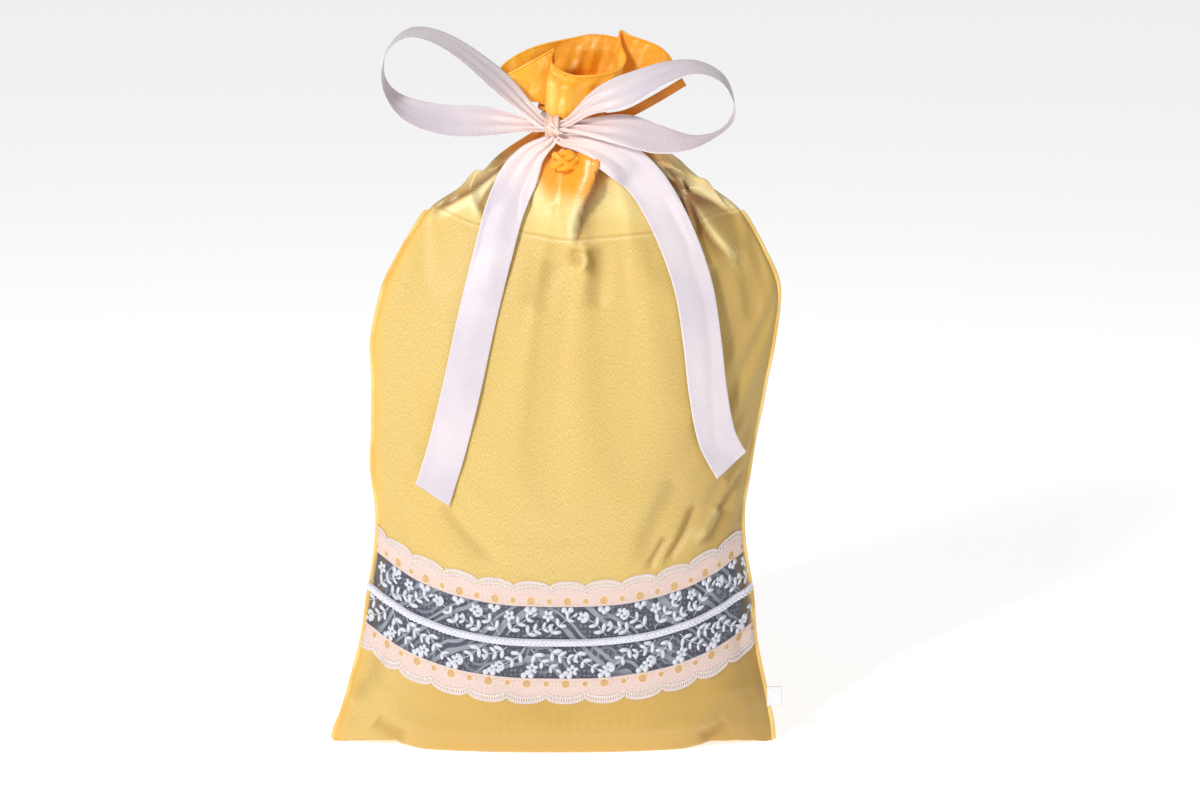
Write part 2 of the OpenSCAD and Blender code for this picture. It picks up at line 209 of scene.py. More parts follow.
class Skin:
    """The settled cloth of the sack, as two grids of points that can be read anywhere."""

    def __init__(self):
        self.k = np.linspace(0, 1, SKIN_COLS + 1)
        self.h = np.linspace(-FLOOR_RUN, CORE_LOW, SKIN_ROWS + 1)
        u = np.sin(np.pi * (self.k - 0.5))
        self.grid = {
            side: plain_wall(u[None, :], self.h[:, None], side) for side in (FRONT, BACK)
        }

    def point(self, u, h, side):
        """Points of the skin, with smooth interpolation between the grid's points."""
        g = self.grid[side]
        u, h = np.broadcast_arrays(np.asarray(u, float), np.asarray(h, float))
        a = (np.arcsin(np.clip(u, -1, 1)) / np.pi + 0.5) * SKIN_COLS
        b = np.clip((h + FLOOR_RUN) / (CORE_LOW + FLOOR_RUN), 0, 1) * SKIN_ROWS
        ia = np.clip(a.astype(int), 0, SKIN_COLS - 1)
        ib = np.clip(b.astype(int), 0, SKIN_ROWS - 1)
        fa, fb = a - ia, b - ib

        def weights(f):
            """Shares of the four grid lines round a point that is f past the second."""
            return [0.5 * (-f + 2 * f**2 - f**3), 0.5 * (2 - 5 * f**2 + 3 * f**3),
                    0.5 * (f + 4 * f**2 - 3 * f**3), 0.5 * (-f**2 + f**3)]

        wa, wb = weights(fa), weights(fb)
        total = np.zeros(u.shape + (3,))
        for i in range(4):
            for j in range(4):
                row = np.clip(ib + i - 1, 0, SKIN_ROWS)
                col = np.clip(ia + j - 1, 0, SKIN_COLS)
                total += g[row, col] * (wb[i] * wa[j])[..., None]
        return total

    def normal(self, u, h, side):
        """Directions out of the sack."""
        du, dh = 0.004, 1.5
        right, left = np.clip(u + du, -1, 1), np.clip(u - du, -1, 1)
        across = self.point(right, h, side) - self.point(left, h, side)
        up = self.point(u, h + dh, side) - self.point(u, h - dh, side)
        n = np.cross(across, up) * (-side)
        n /= np.maximum(np.linalg.norm(n, axis=-1, keepdims=True), 1e-9)
        return n


def object_from(bm, name):
    """A linked object made of a bmesh."""
    mesh = bpy.data.meshes.new(name)
    bm.to_mesh(mesh)
    bm.free()
    obj = bpy.data.objects.new(name, mesh)
    bpy.context.scene.collection.objects.link(obj)
    for polygon in mesh.polygons:
        polygon.use_smooth = True
    return obj


def store_painted_fold_light(obj, folds):
    """Stores, for each point of the front, the painted shade of its creases and the painted highlight
    of its crests.
    """
    # crease holds the painted shade and crest the painted highlight that the materials blend into their
    # colour.
    co = np.array([v.co for v in obj.data.vertices]) / MM
    for name, measure in (("crease", fold_shade), ("crest_highlight", fold_sheen)):
        values = np.where(co[:, 1] < 0, measure(co[:, 0], co[:, 2], folds), 0.0)
        store(obj, name, values)


def lengths_of(obj):
    """The two lengths of a piece's own map at each of its points, in metres."""
    uv = np.zeros((len(obj.data.vertices), 2))
    for loop, item in zip(obj.data.loops, obj.data.uv_layers["cloth"].data):
        uv[loop.vertex_index] = item.uv
    return uv


def store(obj, name, values):
    """Keeps a number for each point of a piece."""
    layer = obj.data.attributes.new(name, "FLOAT", "POINT")
    for item, value in zip(layer.data, values):
        item.value = float(value)


def mapped_grid(name, cols, rows, place, ring=False, uv=(1.0, 1.0)):
    """A grid of quads whose corners go where place(a, b) says, in millimetres. a and b run
    from 0 to 1. ring joins its first column to its last. uv gives the lengths that its
    pattern follows, in metres, as a function of a and b or as the size of the whole grid."""
    bm = bmesh.new()
    bmesh.ops.create_grid(bm, x_segments=cols, y_segments=rows, size=0.5)
    co = np.array([v.co for v in bm.verts])
    a, b = co[:, 0] + 0.5, co[:, 1] + 0.5
    points = place(a, b) * MM
    flat = np.stack(uv(a, b) if callable(uv) else (a * uv[0], b * uv[1]), 1)
    bm.verts.index_update()
    layer = bm.loops.layers.uv.new("cloth")
    for face in bm.faces:
        for loop in face.loops:
            loop[layer].uv = flat[loop.vert.index]
    for vert, p in zip(bm.verts, points):
        vert.co = p
    if ring:
        bmesh.ops.remove_doubles(bm, verts=bm.verts, dist=1e-6)
    return object_from(bm, name)


def settle(skin):
    """Lets the cloth of the sack settle over its contents by a short cloth simulation."""

    def both_walls(a, h, narrow=1.0):
        front, u = round_sack(a)
        walls = [plain_wall(u * narrow, h, side) for side in (FRONT, BACK)]
        return np.where(front[:, None], *walls)

    def outside(a, b):
        return both_walls(a, -FLOOR_RUN + b * (CORE_LOW + FLOOR_RUN))

    bag = mapped_grid("settling_bag", 2 * SKIN_COLS, SKIN_ROWS, outside, ring=True)
    rest = np.array([v.co for v in bag.data.vertices])
    hold = bag.vertex_groups.new(name="hold")
    z = rest[:, 2] / MM
    inner = np.abs(rest[:, 1]) / MM
    strength = 0.04 + smooth((z - 385) / 25) + (1 - smooth((z - 2) / 16)) + 1.0 * (inner < 5)
    for i, share in enumerate(np.clip(strength, 0, 1)):
        hold.add([i], float(share), "REPLACE")

    def inside(a, b):
        p = both_walls(a, 4 + b * CONTENTS_TOP, 0.93)
        shrink = np.where(b > 0.97, 0.0, 1 - 0.1 * b)[:, None]
        centre = np.array([6.0, 0.0, 0.0]) * np.ones_like(p)
        centre[:, 2] = p[:, 2]
        return centre + (p - centre) * np.array([0.97, 0.88, 1.0]) * shrink

    stuffing = mapped_grid("settling_stuffing", 64, 40, inside, ring=True)
    stuffing.modifiers.new("hit", "COLLISION")
    stuffing.collision.thickness_outer = 0.002
    cloth = bag.modifiers.new("settle", "CLOTH")
    s = cloth.settings
    s.quality = 6
    s.mass = 0.15
    s.tension_stiffness = s.compression_stiffness = 12
    s.shear_stiffness = 4
    s.bending_stiffness = 0.25
    s.vertex_group_mass = "hold"
    s.pin_stiffness = 0.6
    s.shrink_min = -0.03
    s.use_pressure = True
    s.uniform_pressure_force = 0.6
    cloth.collision_settings.collision_quality = 2
    cloth.collision_settings.distance_min = 0.001
    scene = bpy.context.scene
    scene.frame_start, scene.frame_end = 1, 26
    for step in range(scene.frame_start, scene.frame_end + 1):
        scene.frame_set(step)
    graph = bpy.context.evaluated_depsgraph_get()
    moved = np.array([v.co for v in bag.evaluated_get(graph).data.vertices])
    scene.frame_set(1)
    shift = moved - rest
    reach = np.linalg.norm(shift, axis=1, keepdims=True)
    farthest = 6 * MM
    shift *= np.minimum(1, farthest / np.maximum(reach, 1e-9)) * np.array([0.6, 1.0, 0.0])
    tree = kdtree.KDTree(len(rest))
    for i, p in enumerate(rest):
        tree.insert(p, i)
    tree.balance()
    for side in (FRONT, BACK):
        flat = skin.grid[side].reshape(-1, 3)
        near = [tree.find(p * MM)[1] for p in flat]
        moved_by = (shift[near] / MM).reshape(skin.grid[side].shape)
        for _ in range(2):
            pad = np.pad(moved_by, ((1, 1), (1, 1), (0, 0)), mode="edge")
            moved_by = (4 * moved_by + pad[:-2, 1:-1] + pad[2:, 1:-1]
                        + pad[1:-1, :-2] + pad[1:-1, 2:]) / 8
        moved_by *= smooth((1 - np.abs(2 * skin.k - 1)) / 0.12)[None, :, None]
        skin.grid[side] = skin.grid[side] + moved_by
    for obj in (bag, stuffing):
        bpy.data.objects.remove(obj)


skin = Skin()
settle(skin)

# ---------------------------------------------------------------- folds of the cloth

# Each fold is a line seen from the front, as x and z, then its height out of the cloth,
# its width on the left of the line and its width on the right of it.
FOLDS = [
    # front flap under the knot, which overlaps the cloth on its right
    ([(33, 404), (30, 393), (25, 382), (19, 366), (16, 352), (15, 341)], 7.5, 15, 1.5),
    # pleats of the right shoulder
    ([(54, 406), (68, 393), (84, 381), (104, 370), (126, 356)], 6.5, 1.5, 12),
    ([(84, 376), (94, 361), (106, 344), (121, 327)], 5.0, 1.5, 10),
    ([(66, 398), (78, 384), (85, 371), (91, 356), (96, 341)], 5.0, 6, 1.6),
    # roll of the left shoulder, over a crease
    ([(-22, 398), (-42, 381), (-62, 368), (-80, 358)], 6.5, 1.5, 11),
    ([(-34, 388), (-43, 377), (-47, 368), (-44, 358)], 3.6, 5, 1.6),
    # narrow pleats close to the neck
    ([(-4, 404), (-8, 384), (-10, 366)], 2.0, 3, 4),
    ([(44, 406), (56, 388), (64, 372)], 2.4, 4, 3),
    # dimple and soft folds under the flap
    ([(15, 341), (18, 330)], -2.6, 4, 4),
    ([(21, 340), (23, 333), (19, 326)], 2.0, 4, 1.6),
    ([(30, 344), (30, 322), (28, 300)], -2.2, 6, 7),
    ([(20, 345), (23, 330), (22, 318)], 1.4, 5, 5),
    ([(1, 336), (-5, 318), (-12, 300)], -1.6, 9, 9),
    ([(104, 330), (112, 300), (116, 262)], -1.8, 12, 14),
    ([(122, 336), (129, 312), (133, 286)], -1.6, 5, 5),
    # creases over the lace
    ([(82, 190), (70, 166), (55, 132)], -1.8, 6, 9),
    ([(94, 170), (86, 150), (73, 129)], -2.8, 3, 4),
    ([(127, 190), (116, 171), (99, 149)], -2.8, 3, 4),
    ([(127, 166), (125, 158), (124, 150)], -2.4, 2.5, 3),
    ([(76, 150), (70, 140), (62, 127)], -2.2, 2.5, 3),
    ([(112, 166), (106, 156), (94, 143)], 2.4, 5, 2),
    ([(-74, 172), (-56, 150), (-36, 131)], -2.0, 7, 5),
    # puckers of the lower corners
    ([(-120, 18), (-98, 6)], -2.5, 8, 8),
    ([(118, 18), (98, 6)], -2.0, 8, 8),
    ([(-135, 30), (-120, 52), (-114, 76)], -1.8, 5, 6),
    ([(127, 82), (133, 56), (141, 24)], -3.0, 6, 5),
]
BACK_FOLDS = [
    ([(30, 404), (40, 384), (52, 360), (58, 338)], 4.0, 2, 12),
    ([(-2, 402), (-10, 380), (-24, 356), (-34, 338)], 4.0, 12, 2),
    ([(14, 404), (14, 380), (12, 356)], 2.5, 5, 6),
    ([(60, 400), (84, 380), (110, 352)], 3.5, 9, 2),
    ([(-22, 398), (-46, 378), (-72, 356)], 3.5, 2, 9),
    ([(40, 330), (46, 300), (44, 262)], -2.0, 9, 11),
    ([(-50, 320), (-44, 280), (-52, 240)], -1.8, 10, 9),
    ([(86, 200), (70, 150), (78, 96)], -1.8, 11, 9),
    ([(-84, 190), (-70, 140), (-82, 92)], -1.6, 9, 12),
]


def fold_frame(x, z, line):
    """Distance off a fold's line, and how far the fold still reaches there: it rises from
    its upper end, dies out to its lower end, and stops soon past both."""
    steps = 40
    path = spline(line, np.linspace(0, 1, steps))
    tangent = heading(path)
    nearest = ((x[..., None] - path[:, 0]) ** 2 + (z[..., None] - path[:, 1]) ** 2).argmin(-1)
    dx, dz = x - path[nearest, 0], z - path[nearest, 1]
    tx, tz = tangent[nearest, 0], tangent[nearest, 1]
    share = nearest / (steps - 1)
    fade = 0.15 + 0.85 * smooth(share / 0.18) * smooth((1 - share) / 0.3)
    return dz * tx - dx * tz, fade * np.exp(-((dx * tx + dz * tz) / 6) ** 2)


def fold_height(x, z, folds):
    """How far the folds lift the cloth at x and z."""
    total = np.zeros_like(x)
    for line, height, wide_left, wide_right in folds:
        off, fade = fold_frame(x, z, line)
        width = np.where(off < 0, wide_left, wide_right)
        total += height * fade * np.exp(-(off / width) ** 2)
    return total


def fold_shade(x, z, folds):
    """How much painted shade the folds give the cloth at x and z, from 0 to 1: in creases, and on and
    past the steep side of raised folds.
    """
    total = np.zeros_like(x)
    for line, height, wide_left, wide_right in folds:
        off, fade = fold_frame(x, z, line)
        fade = np.clip((fade - 0.15) / 0.85, 0, 1)
        narrow = min(wide_left, wide_right)
        if height < 0:
            total += 0.5 * fade * min(1, -height / 4) * np.exp(-(off / (0.7 * narrow)) ** 2)
        elif wide_left != wide_right:
            side = 1 if wide_right < wide_left else -1
            depth = side * off - 1.5 * narrow
            shade = np.where(depth < 0, np.exp(-(depth / 1.6) ** 2), np.exp(-(depth / 6.0)))
            total += fade * min(1, height / 4.5) * shade
    return np.clip(total, 0, 1)


def fold_sheen(x, z, folds):
    """How much painted highlight the cloth gets at x and z just behind a fold's crest, from 0 to 1."""
    total = np.zeros_like(x)
    for line, height, wide_left, wide_right in folds:
        if height > 0 and wide_left != wide_right:
            off, fade = fold_frame(x, z, line)
            behind = off if wide_right > wide_left else -off
            total += fade * min(1, height / 5) * np.exp(-((behind - 2.5) / 2.6) ** 2)
    return np.clip(total, 0, 1)


def neck_pleats(u, h, side):
    """Fine pleats that run into the tie."""
    angle = np.arccos(np.clip(u, -1, 1))
    near = smooth((h - 372) / 40)
    wave = np.cos(17 * angle + 0.6 * side) + 0.5 * np.cos(31 * angle + 1.1)
    return near * wave


def cloth_point(u, h, side, out=0.0):
    """Points of the finished cloth, out millimetres off its face."""
    p = skin.point(u, h, side)
    n = skin.normal(u, h, side)
    folds = FOLDS if side == FRONT else BACK_FOLDS
    off_seam = 1 - smooth((np.abs(u) - 0.86) / 0.14)
    lift = 1.6 * fold_height(p[..., 0], p[..., 2], folds) * off_seam + neck_pleats(u, h, side)
    return p + n * (lift + out)[..., None]


def both_faces(front, u, h, out):
    """Points of the finished cloth, on the front or the back as each one says."""
    faces = [cloth_point(u, h, side, out) for side in (FRONT, BACK)]
    return np.where(front[:, None], *faces)


def lace_line(u, z):
    """Height of a line of the lace that meets the side seams at z."""
    return z - LACE_SAG * (1 - np.abs(u) ** 2.4)


def hem_line(u):
    """Height of the hem where the tissue ends and the facing of the mouth begins."""
    return FACING_Z + HEM_RISE * np.abs(u) ** 1.5 + 0.8 * np.sin(11 * u) + 0.4 * np.sin(23 * u + 1)


def u_of(a):
    """Across a panel from 0 to 1, closer together near the seams."""
    return np.sin(np.pi * (a - 0.5) * 0.999)


# length along the middle of the lace band at each u, so that its pattern keeps its size
BAND_U = np.linspace(-1, 1, 400)
BAND_RUN = run_of(skin.point(BAND_U, lace_line(BAND_U, LACE_LOW + LACE_W / 2), FRONT))
BAND_LENGTH = float(BAND_RUN[-1])


def band_u(a):
    """u at a millimetres along the lace band."""
    return np.interp(a, BAND_RUN, BAND_U)


def along_of(u):
    """Millimetres along the lace band at u."""
    return np.interp(u, BAND_U, BAND_RUN)


def panel(name, side, low, high, cols, rows):
    """A piece of the sack's wall between two lines, each a function of u."""

    def place(a, b):
        u = u_of(a)
        return cloth_point(u, low(u) + (high(u) - low(u)) * b, side)

    def lengths(a, b):
        u = u_of(a)
        return along_of(u) * MM, (low(u) + (high(u) - low(u)) * b) * MM

    obj = mapped_grid(name, cols, rows, place, uv=lengths)
    if side == BACK:
        flip(obj)
    return obj


def flip(obj):
    """Turns an object's faces round."""
    bm = bmesh.new()
    bm.from_mesh(obj.data)
    bmesh.ops.reverse_faces(bm, faces=bm.faces)
    bm.to_mesh(obj.data)
    bm.free()


def thicken(obj, thickness, offset=-1.0):
    """Gives a sheet its thickness, in millimetres."""
    wall = obj.modifiers.new("thickness", "SOLIDIFY")
    wall.thickness = thickness * MM
    wall.offset = offset


# ---------------------------------------------------------------- shader maths


def maths(kind):
    """A method that adds one maths node."""
    return lambda self, *others: self.math(kind, self, *others)


class Val:
    """A value in a shader. Python maths on it adds the nodes."""

    def __init__(self, finish, socket):
        self.finish, self.socket = finish, socket

    def math(self, kind, *values, clamp=False):
        settings = {"operation": kind, "use_clamp": clamp}
        return self.finish.node("ShaderNodeMath", settings, dict(enumerate(values)))

    __add__ = __radd__ = maths("ADD")
    __sub__ = maths("SUBTRACT")
    __mul__ = __rmul__ = maths("MULTIPLY")
    __truediv__ = maths("DIVIDE")
    __pow__ = maths("POWER")
    sin, abs = maths("SINE"), maths("ABSOLUTE")
    less, most = maths("LESS_THAN"), maths("MAXIMUM")

    def __rsub__(self, other):
        return self.math("SUBTRACT", other, self)

    def wrap(self, low, high):
        return self.math("WRAP", self, high, low)

    def clamp(self):
        return self.math("ADD", self, 0.0, clamp=True)

    def step(self, low, high):
        """0 below low and 1 above high, smooth between."""
        return self.finish.node(
            "ShaderNodeMapRange", {"interpolation_type": "SMOOTHSTEP"},
            {"Value": self, "From Min": low, "From Max": high})


class Finish:
    """A material under construction."""

    def __init__(self, name, roughness=0.6, **constants):
        self.material = bpy.data.materials.new(name)
        self.material.use_nodes = True
        self.tree = self.material.node_tree
        self.shader = self.tree.nodes["Principled BSDF"]
        self.shader.inputs["Roughness"].default_value = roughness
        for key, value in constants.items():
            self.shader.inputs[key.replace("_", " ")].default_value = value

    def node(self, kind, settings=None, inputs=None, output=0):
        """Adds a node and gives one of its outputs as a value."""
        made = self.tree.nodes.new(kind)
        for key, value in (settings or {}).items():
            setattr(made, key, value)
        for key, value in (inputs or {}).items():
            if isinstance(value, Val):
                self.tree.links.new(value.socket, made.inputs[key])
            else:
                made.inputs[key].default_value = value
        return Val(self, made.outputs[output])

    def feed(self, name, value):
        """Sets an input of the piece's shader."""
        if isinstance(value, Val):
            self.tree.links.new(value.socket, self.shader.inputs[name])
        else:
            self.shader.inputs[name].default_value = value

    def place(self):
        """Where the point is, in metres."""
        return self.node("ShaderNodeTexCoord", output="Object")

    def lengths(self):
        """The two lengths of the piece's own map, in millimetres."""
        uv = self.node("ShaderNodeUVMap", {"uv_map": "cloth"})
        axes = [self.node("ShaderNodeSeparateXYZ", {}, {0: uv}, output=k) for k in (0, 1)]
        return axes[0] * 1000.0, axes[1] * 1000.0

    def vector(self, x, y):
        return self.node("ShaderNodeCombineXYZ", {}, {0: x, 1: y})

    def distance(self, x, y):
        return (x ** 2.0 + y ** 2.0) ** 0.5

    def stored(self, name):
        """The number that store() keeps for each point."""
        return self.node("ShaderNodeAttribute", {"attribute_name": name}, output="Fac")

    def noise(self, vector, scale, detail=2.0, rough=0.5):
        return self.node("ShaderNodeTexNoise", {},
                         {"Vector": vector, "Scale": scale, "Detail": detail, "Roughness": rough})

    def blend(self, share, first, second):
        """A colour between two colours."""
        return self.node("ShaderNodeMix", {"data_type": "RGBA"},
                         {0: share, 6: first, 7: second}, output=2)

    def bump(self, height, strength, distance):
        """Height in millimetres."""
        normal = self.node("ShaderNodeBump", {}, {"Height": height, "Strength": strength,
                                                  "Distance": distance * MM})
        self.feed("Normal", normal)


def rgb(red, green, blue):
    """A screen colour from 0 to 255 as the shader's colour."""
    shares = [c / 255 for c in (red, green, blue)]
    return (*(c / 12.92 if c <= 0.04045 else ((c + 0.055) / 1.055) ** 2.4 for c in shares), 1.0)


# ---------------------------------------------------------------- materials


def tissue_finish():
    """Thin slubbed tissue cloth: gold weft shot with khaki, a grain of fine slubs, with painted shade
    towards the bottom, to the right and in creases, and painted highlights on crests and along the hem.
    """
    f = Finish("tissue_cloth", 0.42, Specular_IOR_Level=0.45, Sheen_Weight=0.25, Sheen_Roughness=0.4,
               Sheen_Tint=(1.0, 0.9, 0.55, 1.0))
    a, b = f.lengths()
    slubs = f.noise(f.vector(a * 2.6, b * 0.55), 1.0, 3.0, 0.6)
    grain = f.noise(f.vector(a * 1.4, b * 1.1), 1.0, 2.0, 0.65)
    clouds = f.noise(f.place(), 9.0, 3.0, 0.55)
    gold, khaki, pale = rgb(236, 206, 128), rgb(208, 174, 98), rgb(252, 234, 172)
    base = f.blend((slubs - 0.5).step(-0.12, 0.16), khaki, gold)
    base = f.blend(grain.step(0.52, 0.72) * 0.55, base, pale)
    base = f.blend(clouds.step(0.3, 0.75) * 0.3, base, rgb(218, 182, 84))
    base = f.blend((1.0 - a.step(7.0, 11.0)) * 0.4, base, rgb(250, 188, 72))
    far = f.distance(a.wrap(-21.0, 21.0), (b - 26.0).wrap(-21.0, 21.0))
    ghost = (far * 1.1).sin().step(0.1, 0.9) * (1.0 - b.step(34.0, 50.0)) * b.step(4.0, 14.0)
    ghost = ghost * (1.0 - (a - 150.0).abs().step(50.0, 95.0))
    # Painted shade: darker towards the bottom, less so at the left end.
    low = (1.0 - b.step(50.0, 95.0)) * (a.step(15.0, 85.0) * 0.6 + 0.25)
    base = f.blend(low, base, rgb(208, 168, 84))
    base = f.blend(ghost * clouds.step(0.4, 0.6) * 0.13, base, rgb(184, 140, 66))
    # Painted shade: darker towards the right side, which turns away from the key light.
    base = f.blend(a.step(190.0, 280.0) * 0.6, base, rgb(176, 140, 72))
    # Painted highlight along the tissue's top edge, at the hem.
    base = f.blend(f.stored("hem") * 0.7, base, rgb(255, 244, 192))
    # Painted highlight on the crests of folds.
    base = f.blend(f.stored("crest_highlight") * 0.5, base, rgb(255, 242, 184))
    # Painted shade in creases and beside steep folds.
    base = f.blend(f.stored("crease") * 0.85, base, rgb(134, 92, 34))
    warp = (a * (2 * math.pi / 0.55)).sin()
    weft = (b * (2 * math.pi / 0.55)).sin()
    f.feed("Base Color", base)
    f.feed("Roughness", grain * 0.25 + 0.32)
    f.bump(warp * weft * 0.02 + slubs * 0.05 + grain * 0.02, 0.5, 1.0)
    return f.material


def satin_finish(name, light, deep, roughness=0.3, sheen_streak=None):
    """Glossy satin with a faint thread. Given a sheen colour, it gets painted streaks of sheen and
    painted highlights on its crests in that colour, and painted shade in its creases.
    """
    f = Finish(name, roughness, Specular_IOR_Level=0.4, Anisotropic=0.35)
    a, b = f.lengths()
    clouds = f.noise(f.place(), 26.0, 2.0, 0.5)
    thread = f.noise(f.vector(a * 5.0, b * 0.35), 1.0, 2.0, 0.5)
    base = f.blend(clouds.step(0.35, 0.7), light, deep)
    if sheen_streak:
        # Painted sheen: streaks along the satin in the sheen colour.
        pleats = f.noise(f.vector(a * 0.11, b * 0.03), 1.0, 2.0, 0.5)
        fine = f.noise(f.vector(a * 0.24, b * 0.09), 1.0, 3.0, 0.5)
        base = f.blend(pleats.step(0.48, 0.66) * 0.45, base, sheen_streak)
        base = f.blend(fine.step(0.54, 0.7) * 0.35, base, sheen_streak)
        # Painted shade in the creases of the folds.
        base = f.blend(f.stored("crease") * 0.45, base, rgb(228, 124, 12))
        # Painted highlight on the crests of the folds.
        base = f.blend(f.stored("crest_highlight") * 0.6, base, sheen_streak)
    f.feed("Base Color", base)
    f.feed("Roughness", thread * 0.14 + (roughness - 0.07))
    crinkle = f.noise(f.place(), 85.0, 2.0, 0.45)
    f.bump(thread * 0.03 + crinkle * (4.0 if sheen_streak else 2.2), 0.5, 1.0)
    return f.material


def facing_finish():
    """Satin facing of the mouth under tissue: deep orange at the neck, gold at the hem, the gold partly
    a painted sheen. It has a painted shadow under the tissue's edge, painted shade in its creases and
    painted highlights on its crests.
    """
    f = Finish("mouth_facing_satin", 0.32, Specular_IOR_Level=0.55, Sheen_Weight=0.2, Anisotropic=0.3)
    a, b = f.lengths()
    grain = f.noise(f.vector(a * 1.6, b * 0.9), 1.0, 3.0, 0.6)
    clouds = f.noise(f.place(), 30.0, 2.0, 0.5)
    height = b + (clouds - 0.5) * 22.0
    orange, gold, khaki = rgb(255, 164, 34), rgb(253, 232, 160), rgb(206, 172, 96)
    # Paler gold from 350 mm up: partly the satin's own colour, partly a painted sheen.
    base = f.blend(height.step(350.0, 372.0) * 0.85, rgb(238, 208, 128), gold)
    x, y = [f.node("ShaderNodeSeparateXYZ", {}, {0: f.place()}, output=k) * 1000.0 for k in (0, 1)]
    behind = y.step(2.0, 12.0)
    centre = 1.0 - ((x - 12.0) / 30.0).abs().step(0.3, 1.0)
    base = f.blend(grain.step(0.42, 0.72) * (1.0 - b.step(376.0, 396.0)) * 0.7, base, khaki)
    base = f.blend(behind, base, rgb(240, 192, 84))
    base = f.blend((height + centre * 22.0).step(382.0, 400.0), base, orange)
    below = 1.0 - (b + centre * 22.0).step(380.0, 400.0)
    # Painted highlight on fold crests, strongest below the orange.
    base = f.blend(f.stored("crest_highlight") * (below * 0.6 + 0.1), base, rgb(255, 246, 196))
    # Painted shadow that the tissue's top edge casts: a thin dark line just above it.
    base = f.blend((1.0 - (b - (FACING_Z + 2.2)).abs().step(0.3, 1.6)) * 0.35, base, rgb(186, 148, 76))
    # Painted shade in creases and beside steep folds.
    base = f.blend(f.stored("crease") * 0.9, base, rgb(132, 78, 22))
    f.feed("Base Color", base)
    f.feed("Roughness", grain * 0.2 + 0.24)
    crinkle = f.noise(f.place(), 60.0, 2.0, 0.45)
    f.bump(grain * 0.04 + crinkle * 2.0, 0.5, 1.0)
    return f.material


def lace_finish():
    """Net lace: clear mesh in the window, dense thread in the border with open discs."""
    f = Finish("lace_net", 0.8, Specular_IOR_Level=0.25, Sheen_Weight=0.2)
    a, b = f.lengths()
    cell = f.node("ShaderNodeTexVoronoi", {"feature": "DISTANCE_TO_EDGE"},
                  {"Vector": f.vector(a, b), "Scale": 1.15, "Randomness": 0.35})
    net = (1.0 - cell.step(0.045, 0.11)) * 0.58
    half = SCALLOP / 2
    local = (a + half / 2).wrap(0.0, half) - half / 2
    even = ((a + half / 2) / SCALLOP).wrap(0.0, 1.0).less(0.5)
    big = even * 0.9 + 2.0
    far = ((local * local) + (b - (BORDER_W - 4.1)) ** 2.0) ** 0.5
    disc = 1.0 - (far - big).step(-0.25, 0.25)
    rim = 1.0 - (far - big).abs().step(0.2, 0.7)
    in_border = 1.0 - b.step(BORDER_W - 0.6, BORDER_W)
    ground = f.noise(f.vector(a * 1.3, b * 1.6), 1.0, 3.0, 0.7)
    dense = ((1.0 - cell.step(0.08, 0.26)) * 0.5).most(ground.step(0.4, 0.56) * 0.4) + 0.5
    cross = ((a + b) * 3.6).sin().most(((a - b) * 3.6).sin()).step(0.7, 0.95)
    on_cloth = 1.0 - b.step(BORDER_W - 1.6, BORDER_W - 1.0)
    share = ((a / SCALLOP + 0.5).wrap(0.0, 1.0) - 0.5) * 2.0
    tip = (1.0 - (1.0 - share * share).most(0.0) ** 0.5) * SCALLOP_RISE
    eyelet = (a * (2 * math.pi / LOOP_PITCH)).sin().step(-0.2, 0.4)
    eyelet = eyelet * (1.0 - (b - tip - 2.6).abs().step(0.7, 1.1))
    solid = in_border * (1.0 - disc * (1.0 - cross * 0.5 - on_cloth * 0.4)) * dense
    solid = solid * (1.0 - eyelet * 0.75)
    f.feed("Alpha", solid.most(net).most(rim * in_border).clamp())
    white, pink, lilac = rgb(240, 226, 224), rgb(242, 206, 190), rgb(196, 198, 220)
    outer = 1.0 - (b - tip).step(4.4, 5.0)
    dash = (a * 2.2).sin().step(0.2, 0.5) * (1.0 - (b - tip - 5.0).abs().step(0.25, 0.5))
    border = f.blend(ground.step(0.35, 0.65), pink, white)
    border = f.blend(outer * 0.7, border, rgb(248, 240, 240))
    border = f.blend(dash * 0.5, border, rgb(176, 150, 140))
    border = f.blend(disc * (1.0 - cross * 0.9) * 0.95, border, rgb(250, 200, 98))
    base = f.blend(in_border, lilac, border)
    f.feed("Base Color", base)
    f.bump(ground * 0.25 + rim * 0.2, 0.6, 1.0)
    return f.material


def thread_finish(name, colour, shade):
    """Cotton thread of the lace's motifs, braid and stitches."""
    f = Finish(name, 0.75, Specular_IOR_Level=0.25, Sheen_Weight=0.3)
    ribs = f.noise(f.place(), 1400.0, 2.0, 0.6)
    f.feed("Base Color", f.blend(ribs.step(0.3, 0.7), shade, colour))
    f.bump(ribs * 0.12, 0.5, 1.0)
    return f.material


def ribbon_finish():
    """White ribbed satin ribbon with a close selvage."""
    f = Finish("ribbon_satin", 0.38, Specular_IOR_Level=0.5, Sheen_Weight=0.3, Anisotropic=0.2)
    a, b = f.lengths()
    rib = (b * (2 * math.pi / 1.5)).sin()
    edge = (a - RIBBON_W / 2).abs().step(RIBBON_W / 2 - 0.8, RIBBON_W / 2 - 0.5)
    picot = (b * (2 * math.pi / 1.3)).sin() * edge
    clouds = f.noise(f.place(), 22.0, 2.0, 0.5)
    base = f.blend(clouds.step(0.3, 0.7), rgb(228, 218, 222), rgb(214, 204, 213))
    # Painted warm light bounced off the orange satin: the ribbon is pinker near the knot.
    away = f.node("ShaderNodeVectorMath", {"operation": "DISTANCE"},
                  {0: f.place(), 1: (KNOT[0] * MM, KNOT[1] * MM, KNOT[2] * MM)}, output="Value")
    base = f.blend(1.0 - away.step(0.012, 0.06), base, rgb(248, 222, 214))
    base = f.blend((rib * 0.5 + 0.5) * 0.22, base, rgb(200, 186, 200))
    base = f.blend(edge * 0.8, base, rgb(246, 240, 244))
    f.feed("Base Color", base)
    f.feed("Roughness", (rib * 0.5 + 0.5) * 0.12 + edge * 0.2 + 0.3)
    f.bump(rib * 0.06 + edge * 0.12 + picot * 0.12, 0.7, 1.0)
    return f.material


